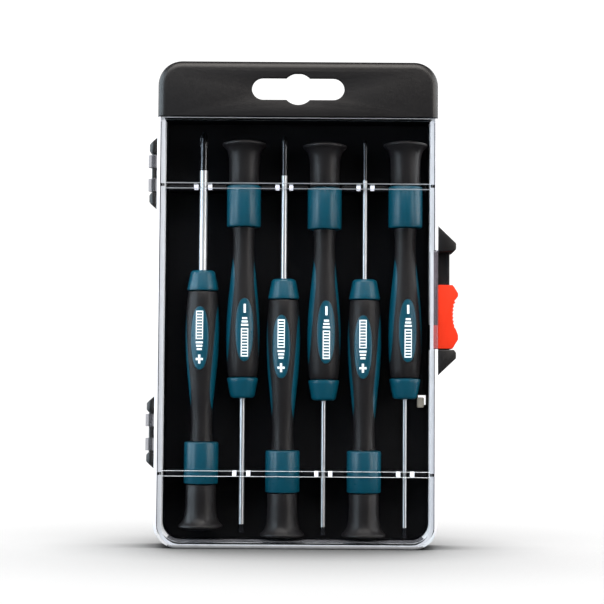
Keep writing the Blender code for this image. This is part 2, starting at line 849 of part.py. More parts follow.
def build_slider(group, colour):
    """Orange latch slider: thumb block on the rail, with a lip that locks the lid."""
    slider = prism("latch_slider", [slider_outline()], SLIDER_FRONT, SLIDER_BACK)
    z = (SLIDER_BOTTOM, SLIDER_BOTTOM + SLIDER_LIP_HEIGHT)
    lip = box("lip", (SLIDER_LIP_INNER, SLIDER_INNER + 0.0005), (SLIDER_FRONT, SLIDER_LIP_BACK), z)
    slider = join(slider, lip)
    room_z = (SLIDER_BOTTOM - 0.002, SLIDER_BOTTOM + SLIDER_HEIGHT + 0.002)
    web = (SLIDER_INNER - 0.001, RAIL_REACH + GAP)
    bead = (RAIL_REACH - 0.001 - GAP, RAIL_REACH + GAP)
    slider = cut(
        slider,
        box("web_room", web, (RAIL_FRONT - GAP, RAIL_BACK + GAP), room_z),
        box(
            "bead_room",
            bead,
            (RAIL_FRONT - RAIL_BEAD - GAP, RAIL_BACK + RAIL_BEAD + GAP),
            room_z,
        ),
    )
    slider.name = "latch_slider"
    return finish(slider, colour, group, origin=(HALF_WIDTH, RAIL_FRONT, SLIDER_BOTTOM), smooth=False)


def build():
    clear_scene()
    group = collection("precision_screwdriver_set")
    colours = {name: material(name) for name in COLOURS}
    build_base(group, colours["case_black"])
    build_tab(group, colours["tab_ivory"])
    build_lid(group, colours["clear_plastic"])
    build_slider(group, colours["latch_orange"])
    build_drivers(group, colours)


build()
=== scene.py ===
import json
import math

import bmesh
import bpy
from mathutils import Matrix, Vector


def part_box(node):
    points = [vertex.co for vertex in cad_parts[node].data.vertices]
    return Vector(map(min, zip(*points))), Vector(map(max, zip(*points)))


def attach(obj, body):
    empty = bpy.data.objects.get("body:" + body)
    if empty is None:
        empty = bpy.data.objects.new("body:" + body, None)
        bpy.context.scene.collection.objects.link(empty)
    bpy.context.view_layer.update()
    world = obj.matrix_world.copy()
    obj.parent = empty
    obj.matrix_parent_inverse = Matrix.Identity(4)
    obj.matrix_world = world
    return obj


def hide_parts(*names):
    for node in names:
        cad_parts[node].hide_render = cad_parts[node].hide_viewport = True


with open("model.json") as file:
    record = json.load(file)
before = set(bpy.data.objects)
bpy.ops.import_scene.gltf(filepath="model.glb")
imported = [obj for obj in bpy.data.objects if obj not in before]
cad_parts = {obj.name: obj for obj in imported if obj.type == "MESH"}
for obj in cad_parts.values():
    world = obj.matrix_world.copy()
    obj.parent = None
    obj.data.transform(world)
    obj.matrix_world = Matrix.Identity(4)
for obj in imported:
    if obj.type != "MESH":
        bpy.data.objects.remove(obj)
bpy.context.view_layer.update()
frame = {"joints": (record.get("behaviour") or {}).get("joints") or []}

joints = {joint["name"]: joint for joint in frame["joints"]}

# ---- sizes --------------------------------------------------------------------
GAP = 0.0003  # clearance between pieces
PAST = 0.001  # how far a cutter reaches past what it cuts
OVERLAP = 0.0005  # how far a joined block reaches into its neighbour
HAIR = 0.0001  # keeps near faces out of one plane, and is the leeway when faces are picked
SKIN = 0.0016
WALL = 0.0024
CORNER = 0.0087
HEADER_EDGE = 0.0028
LID_EDGE = 0.0012
LIP_DEPTH = 0.002
LIP_OFFSET = 0.0013

# radii of the softened edges
SOFT = 0.0002
FINE_SOFT = 0.00015
TRAY_SOFT = 0.00025
WEDGE_SOFT = 0.0003
TAB_SOFT = 0.0005

lid_low, lid_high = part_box("clear_lid")
_, base_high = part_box("base_shell")
slider_low, slider_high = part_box("latch_slider")
tab_low, tab_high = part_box("window_tab")
HALF_WIDTH = lid_high.x
HEIGHT = base_high.z
FRONT = lid_low.y
BACK = base_high.y
LID_TOP = lid_high.z
HEADER_BOTTOM = LID_TOP + 0.0005
LID_RIM = lid_high.y - LIP_DEPTH
WALL_FRONT = LID_RIM + GAP

HEADER_WALL = 0.002
HEADER_BACK = 0.004
SLOT_Z = HEIGHT - 0.0102
SLOT_HALF = 0.0166
SLOT_RADIUS = 0.004
SLOT_EYE = 0.0058

RIB_UPPER_Z = 0.1292
RIB_LOWER_Z = 0.0263
RIB_THICK = 0.0019
LID_RIB_DEPTH = 0.003
# top of the lid's bottom faces that take the painted grey haze
FLOOR_LOOK_TOP = WALL + 0.0015
CRADLE_FRONT = -0.001
CRADLE_REBATE = 0.0012
STOP_WIDTH = 0.0014
STOP_HEIGHT = 0.0018
STOP_SPREAD = 0.0025
STOP_TIP = -0.0018

PIN_X, PIN_Y, _ = joints["lid_hinge"]["pos_m"]
PIN_RADIUS = 0.00075
HINGE_CENTRES = (0.1343, 0.0407)
HINGE_HALF = 0.0133
HINGE_BAR_HALF = 0.0072
EAR_RADIUS = 0.0016
EAR_BACK = 0.006
KNUCKLE_RADIUS = PIN_X - lid_low.x
KNUCKLE_HEIGHT = 0.0044
KNUCKLE_SPACING = 0.0043
KNUCKLE_BORE = PIN_RADIUS + GAP
HOOK_HEIGHT = 0.002
HOOK_FRONT = 0.0012

RAIL_BOTTOM = 0.0709
RAIL_TOP = 0.1062
RAIL_FRONT = 0.0022
RAIL_BACK = 0.0047
RAIL_REACH = 0.0554
RAIL_BEAD = 0.0006
RAIL_BEAD_WIDTH = 0.001
STOP_EAR_REACH = base_high.x
STOP_EAR_RISE = 0.0093
STOP_EAR_FRONT = -0.0055
STOP_EAR_BACK = 0.008
SLIDER_INNER = 0.0508
SLIDER_LIP_BACK = -0.0026
SLIDER_LIP_HEIGHT = 0.0084
LATCH_WINDOW_FRONT = -0.0063
CATCH_BOTTOM = 0.0801
CATCH_FRONT = -0.0022
WINDOW_X = (0.0446, 0.0475)
WINDOW_Z = (0.0511, 0.0546)

# the light band inside the lid's walls
BAND_OUTER = 0.0014
BAND_INNER = 0.0028
BAND_BOTTOM = (0.0009, 0.0015)
BAND_CORNER = (CORNER - 0.0014, CORNER - 0.0022)
BAND_TOP = LID_TOP - 0.0008
BAND_Y = (FRONT + 0.0012, FRONT + 0.0014)

# screwdrivers, measured along the axis from the butt
HANDLE_LENGTH = 0.0935
CAP_LENGTH = 0.0165
COLLAR_TOP = 0.0317
NOSE_BASE = 0.0862
COLLAR_RADIUS = 0.00615
NOSE_RADIUS = 0.0056
NOSE_TIP_RADIUS = 0.0044
CORE_RADIUS = 0.0026
PAD_CENTRE = 0.0690
PAD_HALF_LENGTH = 0.0113
PAD_HALF_WIDTH = 0.0032
PAD_SINK = 0.00005
PAD_MARGIN = 0.00012
STRIPE_CENTRE = 0.0619
STRIPE_HALF_LENGTH = 0.0185
STRIPE_HALF_WIDTH = 0.0036
BLADE_ROOT = 0.0635
BLADE_ROOT_RADIUS = 0.0016
# degrees that the screwdrivers are turned about their axes, by the way they point
SPIN_UP = -7
SPIN_DOWN = 8

# the marks on the pads
MARK_HALF_WIDTH = 0.0013
MARK_LINE = 0.0003
MARK_LIFT = 0.00002
MARK_SINK = 0.00008
MARK_STEP = 0.0008

# tip, shaft radius, dark tip's length
TIPS = (
    ("phillips", 0.0015, 0.0141),
    ("slotted", 0.00095, 0.0030),
    ("phillips", 0.0011, 0.0147),
    ("slotted", 0.0008, 0.0030),
    ("phillips", 0.0008, 0.0146),
    ("slotted", 0.0007, 0.0038),
)

# camera: the roll is in degrees, the width of view is measured at the aim
CAMERA_AIM = (0.00185, 0, 0.088)
CAMERA_AWAY = 0.6
CAMERA_HEIGHT = 0.054
CAMERA_ROLL = 0.384
CAMERA_VIEW_WIDTH = 0.21865
LIGHT_AIM = (0, 0, 0.09)

# steps of the round shapes
ROD_STEPS = 32
TURN_STEPS = 64
OVAL_STEPS = 40
CURVE_STEPS = 5


# ---- materials ----------------------------------------------------------------
class Nodes:
    """A material's node tree, with short calls to add and join its nodes."""

    def __init__(self, name):
        self.material = bpy.data.materials.new(name)
        self.material.use_nodes = True
        self.tree = self.material.node_tree
        self.shader = self.tree.nodes["Principled BSDF"]
        self.output = self.tree.nodes["Material Output"]
        self.coords = self.add("ShaderNodeTexCoord").outputs["Object"]

    def add(self, kind, **values):
        node = self.tree.nodes.new(kind)
        for key, value in values.items():
            setattr(node, key, value)
        return node

    def join(self, a, b):
        self.tree.links.new(a, b)

    def noise(self, scale, detail, stretch=(1, 1, 1)):
        """Noise in object space; scale is features per metre."""
        mapping = self.add("ShaderNodeMapping")
        mapping.inputs["Scale"].default_value = stretch
        self.join(self.coords, mapping.inputs["Vector"])
        texture = self.add("ShaderNodeTexNoise")
        texture.inputs["Scale"].default_value = scale
        texture.inputs["Detail"].default_value = detail
        self.join(mapping.outputs["Vector"], texture.inputs["Vector"])
        return texture.outputs["Fac"]

    def remap(self, value, low, high, start=0.3, end=0.7):
        """The value from start to end, mapped to low to high."""
        node = self.add("ShaderNodeMapRange")
        node.inputs["From Min"].default_value = start
        node.inputs["From Max"].default_value = end
        node.inputs["To Min"].default_value = low
        node.inputs["To Max"].default_value = high
        self.join(value, node.inputs["Value"])
        return node.outputs["Result"]

    def blend(self, factor, first, second):
        """Two colours mixed by a factor."""
        node = self.add("ShaderNodeMix", data_type="RGBA")
        self.join(factor, node.inputs["Factor"])
        node.inputs[6].default_value = (*first, 1)
        node.inputs[7].default_value = (*second, 1)
        return node.outputs[2]

    def bump(self, *layers):
        """Bumps laid over each other, each as (height socket, depth in metres, strength)."""
        normal = None
        for height, depth, strength in layers:
            node = self.add("ShaderNodeBump")
            node.inputs["Strength"].default_value = strength
            node.inputs["Distance"].default_value = depth
            self.join(height, node.inputs["Height"])
            if normal is not None:
                self.join(normal, node.inputs["Normal"])
            normal = node.outputs["Normal"]
        self.join(normal, self.shader.inputs["Normal"])


def plastic(name, dark, light, roughness, grain, depth, strength, specular=0.5):
    """Moulded plastic: slightly mottled between two colours, with waves and a fine grain."""
    nodes = Nodes(name)
    mottle = 45
    colour = nodes.blend(nodes.remap(nodes.noise(mottle, 3), 0, 1), dark, light)
    nodes.join(colour, nodes.shader.inputs["Base Color"])
    rough = nodes.remap(nodes.noise(grain / 3, 3), roughness - 0.05, roughness + 0.05)
    nodes.join(rough, nodes.shader.inputs["Roughness"])
    nodes.shader.inputs["Specular IOR Level"].default_value = specular
    waves = (nodes.noise(mottle * 8, 2), depth * 2, strength * 0.3)
    nodes.bump(waves, (nodes.noise(grain, 4), depth, strength))
    return nodes.material


def clear_material(name, most):
    """Clear polystyrene: see-through face on, and whiter, up to most, the more it is seen edge on: a painted
    reflection, a white diffuse layer in place of the white studio that such plastic mirrors at grazing
    angles.
    """
    nodes = Nodes(name)
    nodes.tree.nodes.remove(nodes.shader)
    tint = nodes.add("ShaderNodeBsdfTransparent")
    tint.inputs["Color"].default_value = (0.985, 0.99, 0.995, 1)
    sheen = nodes.add("ShaderNodeBsdfGlossy")
    sheen.inputs["Roughness"].default_value = 0.08
    glow = nodes.add("ShaderNodeBsdfDiffuse")
    glow.inputs["Color"].default_value = (0.9, 0.92, 0.95, 1)
    facing = nodes.add("ShaderNodeLayerWeight")
    facing.inputs["Blend"].default_value = 0.5
    streaks = nodes.noise(160, 3, (1, 1, 0.25))
    edge = nodes.remap(facing.outputs["Facing"], 0.0, most, 0.55, 0.97)
    shine = nodes.remap(streaks, 0.008, 0.016)
    first = nodes.add("ShaderNodeMixShader")
    nodes.join(shine, first.inputs["Fac"])
    nodes.join(tint.outputs[0], first.inputs[1])
    nodes.join(sheen.outputs[0], first.inputs[2])
    second = nodes.add("ShaderNodeMixShader")
    nodes.join(edge, second.inputs["Fac"])
    nodes.join(first.outputs[0], second.inputs[1])
    nodes.join(glow.outputs[0], second.inputs[2])
    nodes.join(second.outputs[0], nodes.output.inputs["Surface"])
    return nodes.material


def painted_glow_material(name, colour, light):
    """Edges of clear plastic, which gather light and look pale: painted light, a softly glowing skin whose
    emission stands in for the light those edges gather.
    """
    nodes = Nodes(name)
    streaks = nodes.noise(300, 3, (1, 1, 0.3))
    shade_socket = nodes.blend(nodes.remap(streaks, 0, 1), [c * 0.85 for c in colour], colour)
    nodes.join(shade_socket, nodes.shader.inputs["Base Color"])
    # painted glow: the pale colour is also emitted
    nodes.join(shade_socket, nodes.shader.inputs["Emission Color"])
    nodes.join(nodes.remap(streaks, light * 0.8, light * 1.1), nodes.shader.inputs["Emission Strength"])
    nodes.shader.inputs["Roughness"].default_value = 0.35
    return nodes.material


def painted_haze_material(name, opacity, colour):
    """Thick or curved clear plastic: partly see-through, with a milky colour over it: a painted pale haze
    that stands in for the light such plastic bends and scatters.
    """
    nodes = Nodes(name)
    nodes.tree.nodes.remove(nodes.shader)
    tint = nodes.add("ShaderNodeBsdfTransparent")
    tint.inputs["Color"].default_value = (0.97, 0.98, 1.0, 1)
    glow = nodes.add("ShaderNodeBsdfTranslucent")
    glow.inputs["Color"].default_value = (*colour, 1)
    white = nodes.add("ShaderNodeBsdfDiffuse")
    white.inputs["Color"].default_value = (*colour, 1)
    both = nodes.add("ShaderNodeMixShader")
    both.inputs["Fac"].default_value = 0.3
    nodes.join(white.outputs[0], both.inputs[1])
    nodes.join(glow.outputs[0], both.inputs[2])
    amount = nodes.remap(nodes.noise(300, 3, (1, 1, 0.3)), opacity - 0.12, min(1.0, opacity + 0.12))
    mix = nodes.add("ShaderNodeMixShader")
    nodes.join(amount, mix.inputs["Fac"])
    nodes.join(tint.outputs[0], mix.inputs[1])
    nodes.join(both.outputs[0], mix.inputs[2])
    nodes.join(mix.outputs[0], nodes.output.inputs["Surface"])
    return nodes.material


def steel_material(name, dark, light, rough_low, rough_high):
    """Plated or blackened steel with fine lines along the blade."""
    nodes = Nodes(name)
    nodes.shader.inputs["Metallic"].default_value = 1.0
    lines = nodes.noise(400, 1, (1, 1, 0.04))
    patches = nodes.remap(nodes.noise(180, 3), 0, 1)
    nodes.join(nodes.blend(patches, dark, light), nodes.shader.inputs["Base Color"])
    nodes.join(nodes.remap(lines, rough_low, rough_high), nodes.shader.inputs["Roughness"])
    return nodes.material


CASE_BLACK = plastic(
    "case_black", (0.0055, 0.005, 0.0057), (0.0075, 0.007, 0.0078), 0.4, 3600, 0.00002, 0.12, specular=0.42
)
# a darker copy of the case plastic for the tray's inside: painted shade in the deep tray under the lid
CASE_INNER_PAINTED_SHADE = plastic(
    "case_inner", (0.0016, 0.0018, 0.003), (0.0024, 0.0026, 0.004), 0.45, 3000, 0.00001, 0.02, specular=0.2
)
ORANGE = plastic(
    "latch_orange", (0.52, 0.02, 0.003), (0.57, 0.024, 0.004), 0.45, 3000, 0.00002, 0.1, specular=0.15
)
IVORY = plastic("tab_ivory", (0.42, 0.38, 0.31), (0.5, 0.45, 0.37), 0.5, 3000, 0.00002, 0.15)
TEAL = plastic(
    "handle_teal", (0.0, 0.04, 0.065), (0.0, 0.05, 0.08), 0.32, 3000, 0.00001, 0.1, specular=0.32
)
GRIP = plastic(
    "grip_black", (0.0075, 0.0068, 0.0074), (0.0105, 0.0096, 0.0102), 0.42, 2600, 0.00002, 0.12, specular=0.2
)
CAP = plastic(
    "cap_black", (0.0075, 0.0068, 0.0074), (0.0095, 0.0087, 0.0094), 0.4, 2600, 0.00002, 0.12, specular=0.22
)
PRINT = plastic("white_print", (0.72, 0.8, 0.84), (0.8, 0.87, 0.9), 0.5, 6000, 0.00001, 0.1)
CHROME = steel_material("chrome_steel", (0.66, 0.68, 0.71), (0.7, 0.72, 0.75), 0.42, 0.45)
OXIDE = steel_material("black_oxide", (0.05, 0.052, 0.06), (0.09, 0.092, 0.1), 0.22, 0.28)
CLEAR = clear_material("clear_plastic", 0.85)
CLEAR_SHEET = clear_material("clear_sheet", 0.3)
# painted light on the lid: glowing skins for its small bevels, the side roundings, the dim grey bottom
# rounding and the tips of the shaft stops
PAINTED_EDGE_GLOW = painted_glow_material("clear_edge", (0.88, 0.9, 0.95), 1.9)
PAINTED_SIDE_GLOW = painted_glow_material("clear_side", (0.5, 0.5, 0.53), 0.3)
PAINTED_ROUND_GLOW = painted_glow_material("clear_round", (0.3, 0.3, 0.31), 0.05)
PAINTED_STOP_GLOW = painted_glow_material("clear_stop", (0.8, 0.8, 0.92), 0.6)
# painted pale hazes on the clear lid: over the knuckle rings, the hinge bar, the latch, the bottom faces and
# the light band inside the walls
PAINTED_KNUCKLE_HAZE = painted_haze_material("clear_knuckle", 0.8, (0.3, 0.29, 0.3))
PAINTED_PIN_HAZE = painted_haze_material("clear_pin", 0.2, (0.2, 0.2, 0.22))
PAINTED_LATCH_HAZE = painted_haze_material("clear_latch", 0.3, (0.17, 0.15, 0.17))
PAINTED_LOW_HAZE = painted_haze_material("clear_low", 0.35, (0.3, 0.3, 0.33))
PAINTED_BAND_HAZE = painted_haze_material("clear_band", 0.85, (0.6, 0.62, 0.66))
# the lid's looks: the first and the sheet are the clear plastic, whitened where seen edge on; the rest are
# painted glows and hazes set by where a face lies
LID_LOOKS = (
    CLEAR,
    PAINTED_EDGE_GLOW,
    PAINTED_KNUCKLE_HAZE,
    PAINTED_STOP_GLOW,
    PAINTED_ROUND_GLOW,
    PAINTED_LATCH_HAZE,
    PAINTED_LOW_HAZE,
    PAINTED_SIDE_GLOW,
    CLEAR_SHEET,
    PAINTED_PIN_HAZE,
)


# ---- solids -------------------------------------------------------------------
def solid(name, mesh):
    obj = bpy.data.objects.new(name, mesh)
    bpy.context.scene.collection.objects.link(obj)
    return obj


def settle(obj):
    """Replace the object by a plain mesh object of its evaluated, placed shape."""
    bpy.context.view_layer.update()
    ready = obj.evaluated_get(bpy.context.evaluated_depsgraph_get())
    mesh = bpy.data.meshes.new_from_object(ready)
    mesh.transform(obj.matrix_world)
    shape = bmesh.new()
    shape.from_mesh(mesh)
    bmesh.ops.remove_doubles(shape, verts=shape.verts, dist=1e-6)
    bmesh.ops.recalc_face_normals(shape, faces=shape.faces)
    shape.to_mesh(mesh)
    shape.free()
    name = obj.name
    bpy.data.objects.remove(obj)
    return solid(name, mesh)


def prism(name, outlines, low, high, plane="XZ"):
    """Flat outlines, filled, with a thickness from low to high across their plane."""
    curve = bpy.data.curves.new(name, "CURVE")
    curve.dimensions = "2D"
    curve.fill_mode = "BOTH"
    curve.extrude = (high - low) / 2
    for outline in outlines:
        spline = curve.splines.new("POLY")
        spline.points.add(len(outline) - 1)
        spline.use_cyclic_u = True
        for point, (u, v) in zip(spline.points, outline):
            point.co = (u, v, 0, 1)
    obj = solid(name, curve)
    middle = (low + high) / 2
    if plane == "XZ":
        obj.location = (0, middle, 0)
        obj.rotation_euler = (math.pi / 2, 0, 0)
    else:
        obj.location = (0, 0, middle)
    return settle(obj)


def box(name, x, y, z):
    """A block between pairs of limits."""
    shape = bmesh.new()
    bmesh.ops.create_cube(shape, size=1)
    size = [high - low for low, high in (x, y, z)]
    middle = [(high + low) / 2 for low, high in (x, y, z)]
    bmesh.ops.scale(shape, vec=size, verts=shape.verts)
    bmesh.ops.translate(shape, vec=middle, verts=shape.verts)
    mesh = bpy.data.meshes.new(name)
    shape.to_mesh(mesh)
    shape.free()
    return solid(name, mesh)


def rod(name, centre, radius, z):
    """An upright cylinder at centre (x, y) between two heights."""
    shape = bmesh.new()
    bmesh.ops.create_cone(
        shape, cap_ends=True, segments=ROD_STEPS, radius1=radius, radius2=radius, depth=z[1] - z[0]
    )
    bmesh.ops.translate(shape, vec=(*centre, (z[0] + z[1]) / 2), verts=shape.verts)
    mesh = bpy.data.meshes.new(name)
    shape.to_mesh(mesh)
    shape.free()
    return solid(name, mesh)


def turned(name, profile, closed=False):
    """A profile of (radius, height), top to bottom down the outer side, turned about Z."""
    mesh = bpy.data.meshes.new(name)
    edges = [(i, i + 1) for i in range(len(profile) - 1)]
    if closed:
        edges.append((len(profile) - 1, 0))
    mesh.from_pydata([(r, 0, z) for r, z in profile], edges, [])
    obj = solid(name, mesh)
    screw = obj.modifiers.new("turn", "SCREW")
    screw.axis = "Z"
    screw.steps = TURN_STEPS
    screw.render_steps = TURN_STEPS
    screw.use_merge_vertices = True
    screw.merge_threshold = 1e-6
    return settle(obj)


def combine(obj, other, operation):
    """Apply one Boolean of the two solids and drop the second."""
    step = obj.modifiers.new(operation, "BOOLEAN")
    step.operation = operation
    step.solver = "EXACT"
    step.object = other
    result = settle(obj)
    bpy.data.objects.remove(other)
    return result


def join(obj, *others):
    for other in others:
        obj = combine(obj, other, "UNION")
    return obj


def cut(obj, *others):
    for other in others:
        obj = combine(obj, other, "DIFFERENCE")
    return obj


def mesh_of(obj):
    """The shape's mesh, for pieces that share it; the object itself goes."""
    mesh = obj.data
    bpy.data.objects.remove(obj)
    return mesh


def gather(name, objects):
    """One mesh object that holds all of these solids."""
    shape = bmesh.new()
    for obj in objects:
        shape.from_mesh(obj.data)
        bpy.data.objects.remove(obj)
    mesh = bpy.data.meshes.new(name)
    shape.to_mesh(mesh)
    shape.free()
    return solid(name, mesh)


def flatten_faces(obj):
    """Join the coplanar triangles that Booleans leave."""
    shape = bmesh.new()
    shape.from_mesh(obj.data)
    bmesh.ops.dissolve_limit(shape, angle_limit=math.radians(0.5), verts=shape.verts, edges=shape.edges)
    shape.to_mesh(obj.data)
    shape.free()


def soften(obj, width, segments=2, angle=35, material=-1):
    """Small round edges wherever two faces meet at more than the angle."""
    flatten_faces(obj)
    bevel = obj.modifiers.new("soft", "BEVEL")
    bevel.width = width
    bevel.segments = segments
    bevel.limit_method = "ANGLE"
    bevel.angle_limit = math.radians(angle)
    bevel.material = material
    return settle(obj)


def shade(obj, angle=40):
    obj.data.shade_smooth()
    obj.data.set_sharp_from_angle(angle=math.radians(angle))
    return obj


def paint(obj, *materials):
    obj.data.materials.clear()
    for material in materials:
        obj.data.materials.append(material)
    return obj


def piece(obj, name, body, slot, *nodes):
    """Hand a finished object to the frame: its name, body, record slot and CAD nodes; the record slot is not
    used.
    """
    obj.name = name
    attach(obj, body)
    if nodes:
        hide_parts(*nodes)


# ---- outlines -----------------------------------------------------------------
def arc(centre, radius, start, end, steps=14):
    """Points of an arc, in degrees."""
    points = []
    for i in range(steps + 1):
        angle = math.radians(start + (end - start) * i / steps)
        points.append((centre[0] + radius * math.cos(angle), centre[1] + radius * math.sin(angle)))
    return points


def tub(inset, bottom, top, radius):
    """A U-shaped outline: rounded at the bottom, square at the top."""
    side = HALF_WIDTH - inset
    round_x = side - radius
    round_z = bottom + radius
    return [
        *arc((-round_x, round_z), radius, 180, 270),
        *arc((round_x, round_z), radius, 270, 360),
        (side, top),
        (-side, top),
    ]


def slab(inset, bottom, top, radius):
    """An outline that is rounded at its top corners only."""
    side = HALF_WIDTH - inset
    round_x = side - radius
    round_z = top - radius
    return [
        (-side, bottom),
        (side, bottom),
        *arc((round_x, round_z), radius, 0, 90),
        *arc((-round_x, round_z), radius, 90, 180),
    ]


def round_front_edges(obj, radius, keep_z=None):
    """Round the edges of the front face, apart from a straight one at keep_z."""
    shape = bmesh.new()
    shape.from_mesh(obj.data)
    bmesh.ops.dissolve_limit(shape, angle_limit=math.radians(0.5), verts=shape.verts, edges=shape.edges)
    rim = []
    for edge in shape.edges:
        if len(edge.link_faces) != 2 or edge.calc_face_angle(0) < math.radians(60):
            continue
        on_front = all(abs(v.co.y - FRONT) < 1e-6 for v in edge.verts)
        on_kept = keep_z is not None and all(abs(v.co.z - keep_z) < 1e-6 for v in edge.verts)
        if on_front and not on_kept:
            rim.append(edge)
    bmesh.ops.bevel(
        shape, geom=rim, offset=radius, offset_type="OFFSET", segments=7, profile=0.5,
        affect="EDGES", clamp_overlap=False,
    )
    shape.to_mesh(obj.data)
    shape.free()
    return obj


# ---- case ---------------------------------------------------------------------
def driver_x(number):
    return joints[f"driver_{number + 1}_turn"]["pos_m"][0]


def points_down(number):
    return number % 2 == 1


def cradle(name, z, upper):
    """A cross rib of the tray, notched for the shafts and collars that rest in it."""
    half = HALF_WIDTH - WALL - CRADLE_REBATE
    back = BACK - SKIN / 2
    rib = box(name, (-half, half), (CRADLE_FRONT, back), (z - RIB_THICK / 2, z + RIB_THICK / 2))
    for number, (_, radius, _) in enumerate(TIPS):
        on_shaft = points_down(number) != upper
        side = (radius if on_shaft else COLLAR_RADIUS) + GAP
        x = driver_x(number)
        mouth = CRADLE_FRONT - 2 * PAST
        notch = [*arc((x, 0), side, 0, 180), (x - side, mouth), (x + side, mouth)]
        rib = cut(rib, prism("notch", [notch], z - 2 * PAST, z + 2 * PAST, "XY"))
    return soften(rib, SOFT)


def hinge_ears(centre):
    """Two ears with sloped outer ends, the thin bar between them and its stay."""
    outer = PIN_X - EAR_RADIUS
    into_wall = -HALF_WIDTH + WALL / 2
    ramp = 0.0029
    round_in = 0.0009
    made = []
    for sign in (-1, 1):
        low = centre + sign * HINGE_BAR_HALF
        high = centre + sign * HINGE_HALF
        side_view = [
            (into_wall, low),
            (outer + round_in, low),
            (outer, low + sign * round_in),
            (outer, high - sign * ramp),
            (-HALF_WIDTH - GAP, high),
            (into_wall, high),
        ]
        ear = prism("ear", [side_view], PIN_Y - EAR_RADIUS, EAR_BACK)
        span = (centre - HINGE_HALF, centre + HINGE_HALF)
        plan = join(
            rod("plan", (PIN_X, PIN_Y), EAR_RADIUS, span),
            box("plan_back", (outer, -HALF_WIDTH - GAP), (PIN_Y, EAR_BACK), span),
            box("plan_root", (outer, into_wall), (WALL_FRONT, EAR_BACK), span),
        )
        made.append(soften(combine(ear, plan, "INTERSECT"), TRAY_SOFT))
    tuck = 0.0006
    reach = HINGE_BAR_HALF + tuck
    made.append(rod("bar", (PIN_X, PIN_Y), PIN_RADIUS, (centre - reach, centre + reach)))
    stay = box(
        "stay",
        (PIN_X, into_wall),
        (PIN_Y + KNUCKLE_RADIUS + GAP, EAR_BACK - tuck),
        (centre - reach, centre + reach),
    )
    made.append(soften(stay, SOFT))
    return made


def stop_ear(end, sign):
    """The guard wedge at one end of the latch's rail."""
    into_wall = HALF_WIDTH - WALL / 2
    inner = HALF_WIDTH + GAP
    bevel_x = 0.0008
    bevel_z = 0.0010
    flat_z = 0.0030
    shape = [
        (into_wall, end),
        (STOP_EAR_REACH - bevel_x, end),
        (STOP_EAR_REACH, end + sign * bevel_z),
        (STOP_EAR_REACH, end + sign * flat_z),
        (inner, end + sign * STOP_EAR_RISE),
        (into_wall, end + sign * STOP_EAR_RISE),
    ]
    wedge = prism("stop_ear", [shape], STOP_EAR_FRONT, STOP_EAR_BACK)
    low, high = sorted((end - sign * PAST, end + sign * (STOP_EAR_RISE + PAST)))
    inside_lid = 0.04
    room = box("lid_room", (inside_lid, inner), (STOP_EAR_FRONT - PAST, WALL_FRONT), (low, high))
    return soften(cut(wedge, room), WEDGE_SOFT)


